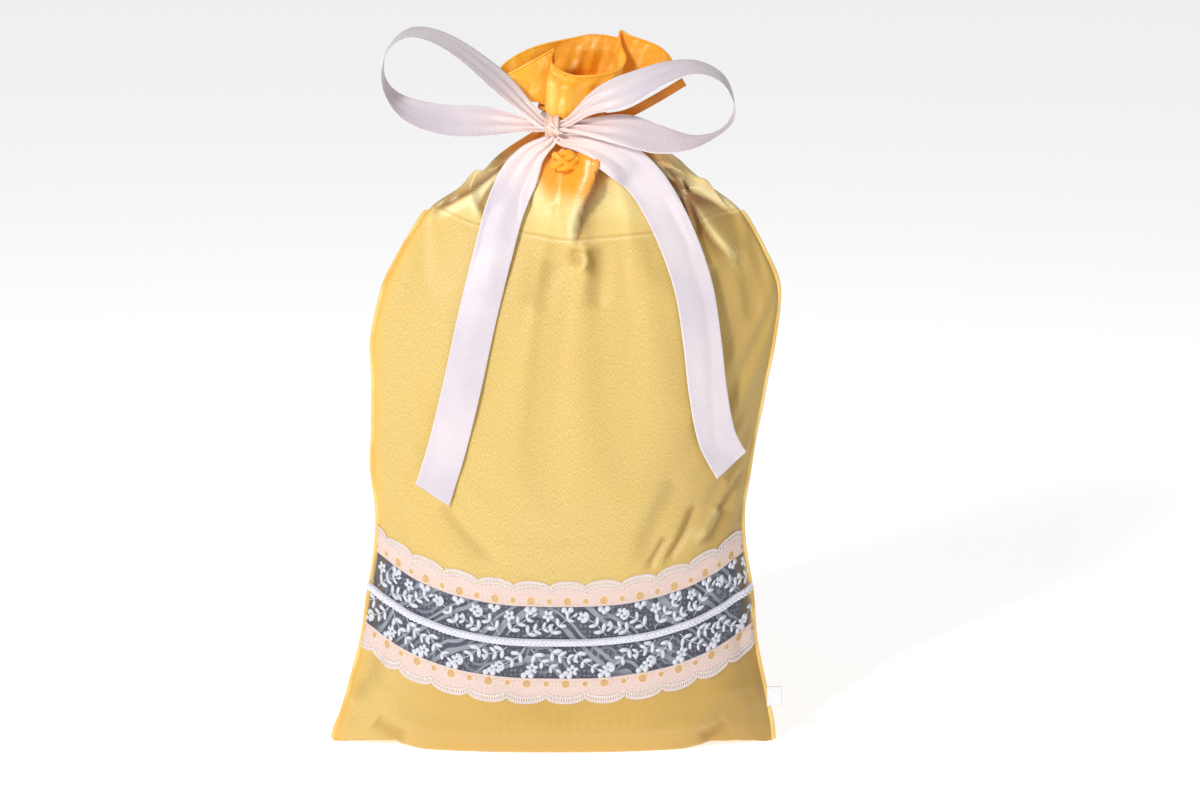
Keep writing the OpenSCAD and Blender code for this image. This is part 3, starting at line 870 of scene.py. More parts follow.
def contents_finish():
    """Folded dress cloth: navy with a printed pattern of pale slanting bands and dots."""
    f = Finish("printed_cloth", 0.7, Specular_IOR_Level=0.3, Sheen_Weight=0.2)
    a, b = f.lengths()
    drift = f.noise(f.vector(a * 0.02, b * 0.02), 1.0, 2.0, 0.5)
    slant = b + (a - 120.0).abs() * 0.7 + drift * 40.0
    band = slant.wrap(0.0, 30.0)
    pale = band.step(2.0, 2.3) * (1.0 - band.step(6.2, 6.5))
    thin = band.step(10.0, 10.2) * (1.0 - band.step(12.6, 12.8))
    far = f.distance(a.wrap(-22.0, 22.0), (b + 6.0).wrap(-19.0, 19.0))
    rings = (far * 1.25).sin().step(0.3, 0.6) * (1.0 - far.step(14.0, 15.0))
    dots = f.node("ShaderNodeTexVoronoi", {"feature": "F1"},
                  {"Vector": f.vector(a, b), "Scale": 0.3, "Randomness": 0.25})
    spots = (1.0 - dots.step(0.3, 0.36)) * band.step(13.0, 14.0)
    mark = (pale.most(thin).most(rings * 0.6).most(spots * 0.4)) * 0.8
    weave = f.noise(f.vector(a * 3.0, b * 3.0), 1.0, 2.0, 0.5)
    base = f.blend(mark, rgb(15, 17, 36), rgb(186, 196, 198))
    base = f.blend(weave.step(0.35, 0.75) * 0.25, base, rgb(14, 16, 36))
    f.feed("Base Color", base)
    f.bump(weave * 0.1, 0.4, 1.0)
    return f.material


def label_finish():
    """Blank woven label."""
    f = Finish("label_weave", 0.5, Specular_IOR_Level=0.4, Sheen_Weight=0.2)
    ribs = f.noise(f.place(), 1800.0, 2.0, 0.5)
    f.feed("Base Color", f.blend(ribs.step(0.3, 0.7), rgb(232, 230, 236), rgb(250, 250, 252)))
    f.bump(ribs * 0.06, 0.4, 1.0)
    return f.material


TISSUE = tissue_finish()
FACING = facing_finish()
SATIN = satin_finish("sack_satin", rgb(255, 200, 84), rgb(250, 176, 58))
SEAM = satin_finish("seam_satin", rgb(246, 214, 132), rgb(230, 184, 92), 0.4)
BACK_SATIN = satin_finish("back_satin", rgb(246, 208, 106), rgb(238, 192, 88), 0.36)
TIE_SATIN = satin_finish("tie_satin", rgb(236, 150, 40), rgb(190, 108, 22), 0.38)
LACE = lace_finish()
MOTIF = thread_finish("lace_thread", rgb(240, 240, 247), rgb(206, 210, 223))
GIMP = thread_finish("lace_gimp", rgb(244, 232, 230), rgb(228, 206, 200))
BRAID = thread_finish("braid_thread", rgb(248, 248, 254), rgb(214, 214, 228))
STITCH = thread_finish("sewing_thread", rgb(232, 198, 112), rgb(206, 166, 80))
RIBBON = ribbon_finish()
CONTENTS = contents_finish()
LABEL = label_finish()
# The last colour paints the frill's sheen streaks and crest highlights.
FRILL = satin_finish("frill_satin", rgb(255, 180, 44), rgb(255, 160, 26), 0.4, rgb(255, 216, 112))
PEACH = satin_finish("knot_satin", rgb(246, 214, 192), rgb(238, 200, 178), 0.45)


def finish_piece(obj, material, slot, *nodes):
    """Gives a piece its material, and hides the model's parts that it stands for. slot is not used."""
    obj.data.materials.clear()
    obj.data.materials.append(material)
    if nodes:
        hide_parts(*nodes)


def fixed_piece(obj, material, slot, *nodes):
    """A finished piece that doesn't move against the sack."""
    finish_piece(obj, material, slot, *nodes)
    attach(obj, "root")


# ---------------------------------------------------------------- sack


def make_panels():
    """The sack's three panels. The two in front leave a window behind the lace."""
    under_border = BORDER_W - 1.2

    def base_seam(u):
        return -FLOOR_RUN + 1 + 0 * u

    def window_low(u):
        return lace_line(u, LACE_LOW + under_border)

    def window_top(u):
        return lace_line(u, LACE_LOW + LACE_W - under_border)

    def top_edge(u):
        return hem_line(u) + 1.5

    upper = panel("tissue_upper_front", FRONT, window_top, top_edge, 220, 150)
    lower = panel("tissue_lower_front", FRONT, base_seam, window_low, 220, 56)
    back = panel("satin_back", BACK, base_seam, top_edge, 180, 210)
    along, height = (lengths_of(upper) / MM).T
    # Marks where the tissue gets a painted highlight along its top edge.
    store(upper, "hem", 1 - smooth((top_edge(band_u(along)) - height) / 2.6))
    for obj, material, slot, node in (
            (upper, TISSUE, "tissue", "front_upper_panel"),
            (lower, TISSUE, "tissue", "front_lower_panel"),
            (back, BACK_SATIN, "satin", "back_panel")):
        thicken(obj, CLOTH_T)
        store_painted_fold_light(obj, FOLDS)
        fixed_piece(obj, material, slot, node)


def make_facing():
    """Facing of the mouth, all the way round. It starts 3 mm under the panels' top edge."""
    lap = 3

    def place(a, b):
        front, u = round_sack(a)
        low = hem_line(u) - lap
        h = low + (CORE_LOW + 1.0 - low) * b
        out = 0.15 - 0.9 * (1 - smooth(b / 0.06))
        return both_faces(front, u, h, out)

    def lengths(a, b):
        front, u = round_sack(a)
        low = FACING_Z - lap
        return np.where(front, 1, -1) * along_of(u) * MM, (low + (CORE_LOW - low) * b) * MM

    facing = mapped_grid("mouth_facing_cloth", 420, 84, place, ring=True, uv=lengths)
    thicken(facing, CLOTH_T)
    store_painted_fold_light(facing, FOLDS)
    fixed_piece(facing, FACING, "satin", "mouth_facing")


make_panels()
make_facing()

# ---------------------------------------------------------------- lace

STRIP_W = (LACE_W - BRAID_W) / 2
STEM_STEPS = 10


def scallop(a):
    """How far the lace's edge stands back from the tips of its scallops."""
    share = np.abs((a / SCALLOP + 0.5) % 1.0 - 0.5) * 2
    back = SCALLOP_RISE * (1 - np.sqrt(np.maximum(1 - share**2, 0)))
    return back + 0.22 * np.cos(2 * np.pi * a / LOOP_PITCH)


def lace_point(a, b, upper, out):
    """A point a along the band and b in from the tips of the scallops."""
    u = band_u(a)
    high = LACE_LOW + LACE_W - b if upper else LACE_LOW + b
    return cloth_point(u, lace_line(u, high), FRONT, out)


# One repeat of the lace's sprays, two scallops long, as points along and in from its edge.
# A spray has pairs of leaves along its stem.
SPRAYS = [
    [(2, 38), (7, 32), (12, 28), (19, 24)],
    [(14, 38), (18, 35), (23, 33), (30, 31)],
    [(30, 38), (34, 33), (39, 28), (46, 24)],
]
FLOWERS = [(29.5, 23.5), (3.5, 24.5)]


def add_disc(bm, a, b, length, width, turn, sides=10):
    """A flat oval of thread at a, b."""
    made = bmesh.ops.create_circle(bm, cap_ends=True, segments=sides, radius=0.5)["verts"]
    c, s = math.cos(math.radians(turn)), math.sin(math.radians(turn))
    for v in made:
        x, y = v.co.x * length, v.co.y * width
        v.co = (a + c * x - s * y, b + s * x + c * y, 0)


def add_line(bm, points, width, steps=12):
    """A flat line of thread through the points."""
    path = spline(points, np.linspace(0, 1, steps + 1))
    along = heading(path)
    made = bmesh.ops.create_grid(bm, x_segments=steps, y_segments=1, size=0.5)["verts"]
    for v in made:
        i = int(round((v.co.x + 0.5) * steps))
        side = v.co.y * width
        v.co = (path[i][0] - along[i][1] * side, path[i][1] + along[i][0] * side, 0)


def add_spray(bm, line):
    """A stem with pairs of leaves that grow smaller to its end, and a bud."""
    add_line(bm, line, 0.42)
    stem = spline(line, np.linspace(0, 1, STEM_STEPS + 1))
    for k in range(2, STEM_STEPS + 1, 3):
        along = stem[k] - stem[k - 1]
        turn = math.degrees(math.atan2(along[1], along[0]))
        size = 6.6 - 0.24 * k
        for lean in (-52, 44):
            way = math.radians(turn + lean)
            add_disc(bm, stem[k][0] + 0.55 * size * math.cos(way),
                     stem[k][1] + 0.55 * size * math.sin(way), size, 0.46 * size, turn + lean)
    add_disc(bm, stem[-1][0] + 1.6, stem[-1][1] - 1.0, 4.0, 1.9, -35)


def add_flower(bm, a, b):
    """Five petals round a, b."""
    for angle in range(20, 380, 72):
        way = math.radians(angle)
        add_disc(bm, a + 2.3 * math.cos(way), b + 2.3 * math.sin(way), 3.6, 2.7, angle, 8)


def draw_motifs(shift):
    """Sprays, flowers and trefoils all along a lace strip, as flat threads."""
    bm = bmesh.new()
    turned = [[(2 * SCALLOP - a, b) for a, b in line] for line in SPRAYS]
    for n in range(-1, int(BAND_LENGTH / (2 * SCALLOP)) + 2):
        start = n * 2 * SCALLOP
        for line in turned if n % 2 else SPRAYS:
            add_spray(bm, [(start + a + shift, b) for a, b in line])
        for a, b in FLOWERS:
            add_flower(bm, start + a + shift, b)
        for middle in (start, start + SCALLOP):
            for da, db, size in ((-2.3, 19.6, 3.9), (2.3, 19.6, 3.9), (0, 21.6, 3.4)):
                add_disc(bm, middle + da, db, size, size, 0, 12)
    loose = [f for f in bm.faces if not all(1.5 < v.co.x < BAND_LENGTH - 1.5 for v in f.verts)]
    bmesh.ops.delete(bm, geom=loose, context="FACES")
    return bm


def draw_gimp():
    """Beads of thread along the scalloped edge of a lace strip."""
    bm = bmesh.new()
    count = int(BAND_LENGTH / 1.5)
    for n in range(count):
        a = (n + 0.5) * BAND_LENGTH / count
        b = float(scallop(np.array(a)))
        add_disc(bm, a, b + 0.7, 0.9, 0.8, 0, 8)
        if n % 2 == 0:
            add_disc(bm, a, b + 4.6, 2.0, 0.6, 0, 8)
    return bm


def lay_threads(bm, name, upper, out, thickness, material):
    """Lays flat threads drawn at a, b on the lace, out millimetres off the cloth."""
    co = np.array([v.co for v in bm.verts])
    points = lace_point(co[:, 0], co[:, 1], upper, out) * MM
    for v, p in zip(bm.verts, points):
        v.co = p
    threads = object_from(bm, name)
    if upper:
        flip(threads)
    thicken(threads, thickness)
    fixed_piece(threads, material, "lace")


def make_lace(upper):
    """A lace strip: its net, the motifs on it and the beads along its edge."""
    name = "lace_strip_upper" if upper else "lace_strip_lower"

    def lengths(a, b):
        edge = scallop(a * BAND_LENGTH)
        return a * BAND_LENGTH * MM, (edge + (STRIP_W - edge) * b) * MM

    def place(a, b):
        along, depth = lengths(a, b)
        return lace_point(along / MM, depth / MM, upper, 0.35 + 0.2 * (1 - b) ** 6)

    net = mapped_grid(name + "_net", 760, 44, place, uv=lengths)
    if upper:
        flip(net)
    fixed_piece(net, LACE, "lace", name)
    shift = 7.0 if upper else 24.0
    lay_threads(draw_motifs(shift), name + "_motifs", upper, 0.85, 0.12, MOTIF)
    lay_threads(draw_gimp(), name + "_gimp", upper, 0.95, 0.15, GIMP)


def tube(name, path, radius, sides=8):
    """A round thread along a path, in millimetres. radius may be a list."""
    n = len(path)
    along = heading(path)
    across = np.cross(along, [0.0, 1.0, 0.0])
    weak = np.linalg.norm(across, axis=1) < 0.2
    across[weak] = np.cross(along[weak], [1.0, 0.0, 0.0])
    across /= np.linalg.norm(across, axis=1, keepdims=True)
    other = np.cross(across, along)
    reach = np.broadcast_to(np.asarray(radius, float), (n,))
    run = run_of(path)

    def place(a, b):
        i = row_of(b, n)
        t = (2 * np.pi * a)[:, None]
        return path[i] + reach[i][:, None] * (np.cos(t) * across[i] + np.sin(t) * other[i])

    def lengths(a, b):
        return a * 6.28 * float(reach.mean()) * MM, run[row_of(b, n)] * MM

    return mapped_grid(name, sides, n - 1, place, ring=True, uv=lengths)


def strands(name, routes, sides=8):
    """One object of several threads, each given as its path and its radius."""
    bm = bmesh.new()
    for path, radius in routes:
        thread = tube("thread", path, radius, sides)
        bm.from_mesh(thread.data)
        bpy.data.objects.remove(thread)
    return object_from(bm, name)


def make_braid():
    """Three strands that cross along the middle of the lace."""
    along = np.linspace(0.5, BAND_LENGTH - 0.5, 620)
    u = band_u(along)
    routes = []
    for k in range(3):
        turn = 2 * np.pi * (along / 9.0 + k / 3)
        off, lift = 1.5 * np.sin(turn), 0.5 * np.sin(2 * turn)
        line = lace_line(u, LACE_LOW + LACE_W / 2 + off)
        path = cloth_point(u, line, FRONT) + skin.normal(u, line, FRONT) * (1.9 + lift)[:, None]
        routes.append((path, 0.85 + 0.15 * np.sin(along * 4.2)))
    braid = strands("lace_braid_strands", routes)
    fixed_piece(braid, BRAID, "braid", "lace_braid")

    def place(a, b):
        u = band_u(a * BAND_LENGTH)
        height = LACE_LOW + STRIP_W + 0.5 + (BRAID_W - 1) * b
        return cloth_point(u, lace_line(u, height), FRONT, 0.55)

    tape = mapped_grid("lace_braid_tape", 300, 6, place, uv=(BAND_LENGTH * MM, 7 * MM))
    fixed_piece(tape, BRAID, "braid")


make_lace(True)
make_lace(False)
make_braid()

# ---------------------------------------------------------------- contents


def make_contents():
    """Folded cloth that fills the sack and shows through the lace."""
    low = 3.5

    def place(a, b):
        front, u = round_sack(a)
        cap = np.minimum(smooth(b / 0.1), smooth((1 - b) / 0.12))
        h = low + b * (CONTENTS_TOP - low)
        p = both_faces(front, u * 0.96, h, -1.5)
        over_lace, under_lace = smooth((h - 150) / 30), 1 - smooth((h - 40) / 25)
        inset = 1.2 + 3.5 * over_lace + 2.5 * under_lace + 5 * (1 - cap)
        y = np.where(front, np.minimum(p[:, 1] + inset, 0), np.maximum(p[:, 1] - inset, 0))
        x = 4 + (p[:, 0] - 4) * (0.985 - 0.12 * (1 - cap))
        y = y * (0.25 + 0.75 * cap)
        ends = (b < 1e-6) | (b > 1 - 1e-6)
        return np.stack([x, np.where(ends, 0, y), np.maximum(h, 2.5)], 1)

    def lengths(a, b):
        front, u = round_sack(a)
        return np.where(front, 1, -1) * along_of(u) * MM, (low + b * (CONTENTS_TOP - low)) * MM

    stuffing = mapped_grid("folded_cloth_bulk", 160, 100, place, ring=True, uv=lengths)
    fixed_piece(stuffing, CONTENTS, "contents_cloth", "folded_cloth")


make_contents()

# ---------------------------------------------------------------- seams and stitches


def make_side_seam(side):
    """Seam that stands out of one side and is folded over its own edge."""
    name = "side_seam_left" if side < 0 else "side_seam_right"

    def place(a, b):
        h = 1.2 + b * (FACING_Z + HEM_RISE - 3)
        base = skin.point(np.full_like(b, side), h, FRONT)
        angle = 2 * np.pi * a
        wave = 0.6 * np.sin(h / 11.0) + 0.3 * np.sin(h / 4.3 + 1)
        x = base[:, 0] + side * (0.6 + 1.7 * np.cos(angle) + 0.2 * np.sin(h / 7.0))
        y = 0.85 * np.sin(angle) + wave * (0.35 + 0.65 * (np.cos(angle) > 0))
        return np.stack([x, y, h], 1)

    seam = mapped_grid(name + "_fold", 14, 240, place, ring=True, uv=(12 * MM, FACING_Z * MM))
    fixed_piece(seam, SEAM, "satin", name)


def make_bottom_seam():
    """Seam under the middle of the base, from one side to the other."""

    def place(a, b):
        angle = 2 * np.pi * a
        x = -HALF_W + 1 + b * (2 * HALF_W - 2)
        return np.stack([x, 1.5 * np.cos(angle), 0.5 + 0.48 * np.sin(angle)], 1)

    size = (6 * MM, 2 * HALF_W * MM)
    seam = mapped_grid("bottom_seam_fold", 12, 120, place, ring=True, uv=size)
    fixed_piece(seam, SATIN, "satin", "bottom_seam")


def make_stitches():
    """Short stitches along the hem of the facing and both edges of the lace window."""
    in_from_edge, length, count = 15.6, 1.5, 110
    rows = [
        (lambda u: hem_line(u) + 1.2, 0.7),
        (lambda u: lace_line(u, LACE_LOW + LACE_W - in_from_edge), 1.1),
        (lambda u: lace_line(u, LACE_LOW + in_from_edge), 1.1),
    ]
    bm = bmesh.new()
    for line, out in rows:
        for start in np.linspace(3, BAND_LENGTH - 3, count + 1)[:-1]:
            pair = band_u(np.array([start, start + length]))
            p = cloth_point(pair, line(pair), FRONT, out)
            middle, along = (p[0] + p[1]) / 2, (p[1] - p[0]) / 2
            made = bmesh.ops.create_icosphere(bm, subdivisions=1, radius=1.0)["verts"]
            for v in made:
                v.co = Vector((middle + along * v.co.x + np.array([0, 0.14, 0]) * v.co.y
                               + np.array([0, 0, 0.14]) * v.co.z) * MM)
    stitches = object_from(bm, "stitch_rows")
    fixed_piece(stitches, STITCH, "satin")


for end in (-1, 1):
    make_side_seam(end)
make_bottom_seam()
make_stitches()

# ---------------------------------------------------------------- neck, frill and tie


def ring_point(angle, radius, z):
    """Points round the neck."""
    return np.stack([NECK_X + radius * np.cos(angle), radius * np.sin(angle), z], 1)


def frill_fold(angle, t):
    """How far the frill's own folds stand out."""
    wide = np.sin(6 * angle + 2.2 * t + 1.4 * np.sin(2 * angle))
    return 2.6 * np.sin(np.pi * t**0.8) * wide + 0.6 * np.sin(np.pi * t) * np.sin(17 * angle + 3 * t)


def frill_point(a, t):
    """Points of the frill, round the neck with a and out of the tie with t."""
    rim = spline(FRILL_RIM, a)
    angle = np.radians(rim[:, 3])
    pleat = 0.8 * np.cos(16 * angle) + 0.35 * np.cos(27 * angle + 1.0)
    base = ring_point(angle, NECK_R - 0.3 + pleat * (1 - 0.6 * smooth(t * 1.3)), 0 * t)
    open_share = np.power(t, 0.42 + 0.06 * np.sin(3 * angle))
    swell = 3.4 * np.sin(np.pi * np.clip(t * 1.3, 0, 1)) * (0.7 + 0.3 * np.sin(2 * angle + 0.6))
    out = swell + frill_fold(angle, t)
    hang = np.sin(np.pi * np.clip(t * 2.4, 0, 1))
    x = base[:, 0] + (rim[:, 0] - base[:, 0]) * open_share + (out + 2.0 * hang) * np.cos(angle)
    y = base[:, 1] + (rim[:, 1] - base[:, 1]) * open_share + (out + 4.0 * hang) * np.sin(angle)
    low_z = CORE_HIGH - 0.8
    front = 0.5 - 0.5 * np.sin(angle)
    z = low_z + (NECK_Z + FRILL_H * rim[:, 2] - low_z) * t - (3.0 + 14.0 * front**3) * hang
    return np.stack([x, y, z], 1)


def make_frill():
    """The satin above the tie, with a rolled rim."""
    around, deep = 0.42, 0.05  # lengths that its pattern follows, in metres
    frill = mapped_grid("mouth_frill_cloth", 520, 64, frill_point, ring=True, uv=(around, deep))
    a, t = (lengths_of(frill) / (around, deep)).T
    # Painted shade in the frill's valleys and painted highlight on its ridges, from its own folds.
    rise = frill_fold(np.radians(spline(FRILL_RIM, a)[:, 3]), t) / 3
    store(frill, "crease", np.clip(-rise, 0, 1) ** 1.5)
    store(frill, "crest_highlight", np.clip(rise, 0, 1) ** 2)
    thicken(frill, CLOTH_T)
    fixed_piece(frill, FRILL, "satin", "mouth_frill")
    share = np.linspace(0, 1, 420)
    rim = tube("mouth_frill_rim", frill_point(share, np.ones_like(share)), 0.75, 8)
    fixed_piece(rim, FRILL, "satin")


def make_neck():
    """The cloth gathered in the neck, the tie's two turns round it, and the ribbon's one."""

    def gathered(a, b):
        angle = 2 * np.pi * a
        radius = NECK_R - 0.9 + 0.8 * np.cos(18 * angle) + 0.3 * np.cos(31 * angle)
        return ring_point(angle, radius, CORE_LOW - 1 + (CORE_HIGH - CORE_LOW + 1) * b)

    core = mapped_grid("neck_gathers_cloth", 260, 12, gathered, ring=True, uv=(0.09, 0.02))
    fixed_piece(core, FRILL, "satin", "neck_gathers")

    def floor_disc(a, b):
        angle = 2 * np.pi * a
        return ring_point(angle, (NECK_R - 1.5) * b, 435.5 - 6 * (1 - b) ** 2 + 0.5 * np.cos(9 * angle))

    plug = mapped_grid("neck_gathers_mouth", 120, 10, floor_disc, ring=True, uv=(0.09, 0.015))
    fixed_piece(plug, FRILL, "satin")

    angle = np.linspace(0, 2 * np.pi, 160)
    turns = []
    for n, z in enumerate((429.0, 432.6)):
        wobble = 0.35 * np.sin(5 * angle + n) + 0.2 * np.sin(11 * angle)
        path = ring_point(angle, 17.0 + 0.15 * wobble, z + wobble)
        turns.append((path, 1.55 + 0.2 * np.sin(24 * angle + n)))
    band = strands("tie_band_turns", turns, 10)
    fixed_piece(band, TIE_SATIN, "tie_satin", "tie_band")

    def wrapped(a, b):
        angle = 2 * np.pi * a
        radius = 15.6 + 1.1 * np.sin(np.pi * b) ** 0.5 + 0.35 * np.sin(3 * np.pi * b + 2 * angle)
        return ring_point(angle, radius, 416.3 + 10 * b + 0.6 * np.sin(4 * angle))

    wrap = mapped_grid("ribbon_neck_wrap_band", 140, 12, wrapped, ring=True,
                       uv=lambda a, b: (b * 0.025, a * 0.107))
    thicken(wrap, WOVEN_T)
    fixed_piece(wrap, RIBBON, "ribbon", "ribbon_neck_wrap")


def make_tie_knot():
    """Twisted strands of the tied tie under the bow."""
    lines = [
        [(1, -28, 394), (5, -31.5, 396), (10, -31, 399), (14, -29, 401)],
        [(17, -28, 394), (12, -32, 395.5), (7, -31, 399), (2, -28, 402)],
        [(2, -27, 400), (7, -29.5, 402), (12, -29, 402.5), (16, -27, 399)],
        [(5, -30, 393), (9, -32.5, 393.5), (14, -31, 396), (17, -28, 399)],
    ]
    t = np.linspace(0, 1, 40)
    routes = [(spline(line, t), 2.1 + 0.25 * np.sin(9 * t + n)) for n, line in enumerate(lines)]
    knot = strands("tie_knot_strands", routes, 14)
    fixed_piece(knot, FRILL, "tie_satin", "tie_knot")


def make_tie_end():
    """The tie's free end, a flat strip with rounded edges."""
    path = np.concatenate([[[24, -3, 421]], spline(TIE_END, np.linspace(0, 1, 60))])
    n = len(path)
    level = np.array([0, 1.0, 0])
    up = np.cross(heading(path), level)
    up /= -np.linalg.norm(up, axis=1, keepdims=True)

    def place(a, b):
        i, angle = row_of(b, n), 2 * np.pi * a
        wide = 2.9 * np.sign(np.cos(angle)) * np.abs(np.cos(angle)) ** 0.4
        deep = 0.75 * np.sign(np.sin(angle)) * np.abs(np.sin(angle)) ** 0.5
        return path[i] + up[i] * wide[:, None] + level * deep[:, None]

    strip = mapped_grid("tie_end_strip", 20, n - 1, place, ring=True, uv=(0.016, 0.065))
    bm = bmesh.new()
    bm.from_mesh(strip.data)
    bmesh.ops.holes_fill(bm, edges=[e for e in bm.edges if e.is_boundary])
    bm.to_mesh(strip.data)
    bm.free()
    finish_piece(strip, TIE_SATIN, "tie_satin", "tie_end")
    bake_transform(strip)


make_neck()
make_frill()
make_tie_knot()
make_tie_end()

# ---------------------------------------------------------------- ribbon

RIBBON_COLS = 18


def ribbon_strip(name, path, toward, pleats):
    """Ribbon along a path. toward is half its width as a vector at each point, and pleats
    is how deeply it is folded along its length there."""
    n = len(path)
    face = np.cross(heading(path), toward)
    face /= np.linalg.norm(face, axis=1, keepdims=True)
    run = run_of(path)

    def place(a, b):
        i, k = row_of(b, n), 2 * a - 1
        wave = pleats[i] * np.cos(2.5 * np.pi * k + 0.7)
        return path[i] + toward[i] * k[:, None] + face[i] * wave[:, None]

    def lengths(a, b):
        return a * RIBBON_W * MM, run[row_of(b, n)] * MM

    obj = mapped_grid(name, RIBBON_COLS, n - 1, place, uv=lengths)
    thicken(obj, RIBBON_T, 0.0)
    return obj, float(run[-1])


def make_loop(side):
    """One loop of the bow, out of the knot and back into it."""
    name = "left" if side < 0 else "right"
    route = LOOP_LEFT if side < 0 else LOOP_RIGHT
    route = [(2 * side, 1, 60), *route, (2 * side, 0, 60)]
    share = np.linspace(0, 1, 260)
    run = run_of(spline(route, share)[:, :2])
    raw = spline(route, np.interp(share * run[-1], run, share))
    lean = 1.2 * np.sin(4 * np.pi * share + side) * np.sin(np.pi * share)
    path = np.stack([KNOT[0] + raw[:, 0], KNOT[1] - 4.0 + lean, KNOT[2] + raw[:, 1]], 1)
    along = heading(path)
    drop = np.radians(raw[:, 2])
    v = np.stack([0 * drop, -np.cos(drop), -np.sin(drop)], 1)
    v -= (v * along).sum(1, keepdims=True) * along
    v /= np.linalg.norm(v, axis=1, keepdims=True)
    ends = np.minimum(share, 1 - share) * run[-1]
    width = RIBBON_W / 2 * (0.26 + 0.74 * smooth(ends / 52))
    pleats = 1.7 * (1 - smooth(ends / 50)) + 0.25 * np.sin(9 * share)
    obj, length = ribbon_strip(f"ribbon_loop_{name}_band", path, v * width[:, None], pleats)
    finish_piece(obj, RIBBON, "ribbon", f"ribbon_loop_{name}")
    round(length * MM, 3)
    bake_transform(obj)


def cloth_depth(x, z):
    """How far the front of the sack stands out at x and z."""
    z = np.asarray(z, float)
    row = outline_at(z.ravel())
    middle = HALF_W * (row[:, 2] - row[:, 1]) / 2
    wide = HALF_W * (row[:, 2] + row[:, 1]) / 2
    u = np.clip((x.ravel() - middle) / wide, -0.97, 0.97)
    p = cloth_point(u, np.minimum(z.ravel(), CORE_LOW), FRONT)
    return (-p[:, 1]).reshape(z.shape)


def make_tail(side):
    """One end of the ribbon, lying on the front of the sack."""
    name = "left" if side < 0 else "right"
    route = [(0.5 * side, -3), *(TAIL_LEFT if side < 0 else TAIL_RIGHT)]
    steps = 280
    t = np.linspace(0, 1, steps)
    run = run_of(spline(route, t))
    length = float(run[-1])
    dist = np.linspace(0, length, steps)
    flat = spline(route, np.interp(dist, run, t)) + np.array([KNOT[0], KNOT[2]])
    along = heading(flat)
    width = RIBBON_W / 2 * (0.3 + 0.7 * smooth(dist / 42))
    k = np.linspace(-1, 1, RIBBON_COLS + 1)
    x = flat[:, :1] + along[:, 1:] * (width[:, None] * k)
    z = flat[:, 1:] - along[:, :1] * (width[:, None] * k)
    depth = cloth_depth(x, z)
    for dx, dz in ((4, 0), (-4, 0), (0, 4), (0, -4), (3, 3), (-3, -3)):
        depth = np.maximum(depth, cloth_depth(x + dx, z + dz))
    depth = np.maximum(depth, depth.max(1, keepdims=True) - 5)
    reach = 14
    kernel = np.exp(-np.linspace(-2, 2, 2 * reach + 1) ** 2)
    kernel /= kernel.sum()
    over = np.pad(depth, ((reach, reach), (0, 0)), mode="edge")
    over = np.stack([over[i:i + steps] for i in range(2 * reach + 1)]).max(0)
    over = np.pad(over, ((reach, reach), (0, 0)), mode="edge")
    depth = np.stack([np.convolve(column, kernel, "valid") for column in over.T], 1) + 1.0
    near = (1 - smooth(dist / 62))[:, None]
    float_off = (np.sin(np.pi * dist / length) * (1.0 + np.sin(dist / 24.0)))[:, None]
    y = -(depth * (1 - near) + 27.0 * near) - float_off * (1 - near)
    y = y - 1.6 * near * np.cos(2.5 * np.pi * k + 0.5)[None, :] - 0.5 * np.cos(np.pi * k)[None, :]

    def place(a, b):
        i, j = row_of(b, steps), row_of(a, RIBBON_COLS + 1)
        slant = 3.0 * side * k[j] * smooth((b - 0.95) / 0.05)
        return np.stack([x[i, j] + along[i, 0] * slant, y[i, j], z[i, j] + along[i, 1] * slant], 1)

    obj = mapped_grid(f"ribbon_tail_{name}_band", RIBBON_COLS, steps - 1, place,
                      uv=(RIBBON_W * MM, length * MM))
    flip(obj)
    thicken(obj, RIBBON_T, 0.0)
    finish_piece(obj, RIBBON, "ribbon", f"ribbon_tail_{name}")
    if side < 0:
        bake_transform(obj)
    else:
        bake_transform(obj)


def make_knot():
    """Crumpled middle of the bow, with a strap round it."""

    def body(a, b):
        angle, rise = 2 * np.pi * a, np.pi * (b - 0.5)
        crease = 1 + 0.13 * np.cos(5 * angle) * np.cos(rise) + 0.07 * np.cos(11 * angle + 3 * rise)
        r = np.cos(rise) * crease
        y, z = 6.0 * r * np.cos(angle), 5.2 * r * np.sin(angle)
        return np.stack([KNOT[0] + 5.6 * np.sin(rise), KNOT[1] - 1 + y, KNOT[2] + z], 1)

    knot = mapped_grid("ribbon_knot_core", 72, 24, body, ring=True, uv=(0.025, 0.02))
    fixed_piece(knot, RIBBON, "ribbon", "ribbon_knot")

    def strap(a, b):
        angle = np.radians(-150 + 300 * b)
        ripple = 0.35 * np.sin(14 * a + 3 * b)
        x = KNOT[0] - 1.0 + 8.4 * (a - 0.5) + 1.5 * (b - 0.5)
        y = KNOT[1] - 0.6 - (7.0 + ripple) * np.cos(angle)
        return np.stack([x, y, KNOT[2] + (6.2 + ripple) * np.sin(angle)], 1)

    band = mapped_grid("ribbon_knot_strap", 14, 60, strap, uv=(0.025, 0.036))
    thicken(band, RIBBON_T, 0.0)
    fixed_piece(band, PEACH, "ribbon")

    t = np.linspace(0, 1, 26)
    lines = ([(-2, -34.4, 421), (2, -35.4, 418.5), (7, -34.5, 416)],
             [(0, -34.8, 423), (4, -35.2, 419), (5, -34.0, 415.5)])
    routes = [(spline(line, t), 0.9 + 0.25 * np.sin(12 * t)) for line in lines]
    twist = strands("ribbon_knot_twist", routes)
    fixed_piece(twist, RIBBON, "ribbon")


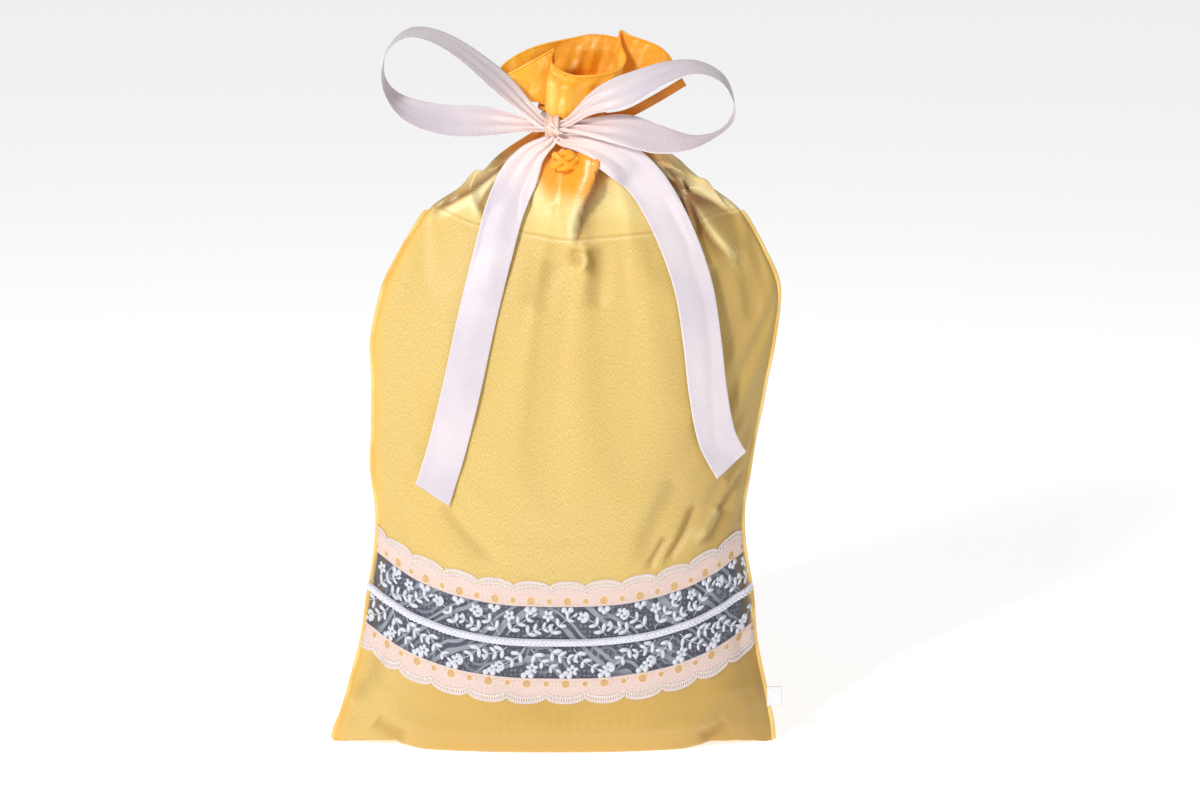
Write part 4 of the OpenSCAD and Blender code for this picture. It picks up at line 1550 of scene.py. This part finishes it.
make_knot()
for end in (-1, 1):
    make_loop(end)
    make_tail(end)

# ---------------------------------------------------------------- label


def make_label():
    """Blank label, folded double."""
    start = float(skin.point(np.array([1.0]), np.array([31.0]), FRONT)[0, 0]) + 0.6

    def place(a, b):
        s = a * 2 - 1
        across = 1 - np.abs(s)
        x = start + (LABEL_END - start) * np.sin(across * np.pi / 2) ** 0.8
        y = 0.62 * np.sign(s) * np.minimum(1, np.abs(s) * 5)
        return np.stack([x, y, LABEL_LOW + LABEL_H * b], 1)

    label = mapped_grid("side_label_fold", 40, 20, place, uv=(0.016, 0.014))
    thicken(label, WOVEN_T, 0.0)
    finish_piece(label, LABEL, "label", "side_label")
    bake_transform(label)


make_label()

# ---------------------------------------------------------------- stage


def make_stage():
    """Pale floor, plain surroundings and three lamps."""
    bpy.ops.mesh.primitive_plane_add(size=30)
    floor = bpy.context.object
    floor.name = "floor"
    paint = Finish("floor_paint", 0.9)
    paint.feed("Base Color", (0.72, 0.72, 0.72, 1.0))
    paint.feed("Emission Color", (0.66, 0.66, 0.66, 1.0))
    paint.feed("Emission Strength", 1.0)
    floor.data.materials.append(paint.material)
    world = bpy.data.worlds.new("studio")
    bpy.context.scene.world = world
    world.use_nodes = True
    world.node_tree.nodes["Background"].inputs["Color"].default_value = (1, 1, 1, 1)
    world.node_tree.nodes["Background"].inputs["Strength"].default_value = 0.26
    for name, place, size, power in (
            ("key_light", (-1.3, -2.1, 1.7), 0.4, 52),
            ("fill_light", (1.6, -1.8, 0.7), 1.6, 1.5),
            ("top_light", (0.3, 0.5, 2.2), 1.4, 8)):
        data = bpy.data.lights.new(name, "AREA")
        data.size, data.energy = size, power
        light = bpy.data.objects.new(name, data)
        bpy.context.scene.collection.objects.link(light)
        light.location = place
        light.rotation_mode = "QUATERNION"
        light.rotation_quaternion = (Vector((0, 0, 0.22)) - Vector(place)).to_track_quat("-Z", "Y")
    bpy.context.scene.view_settings.view_transform = "Standard"


make_stage()
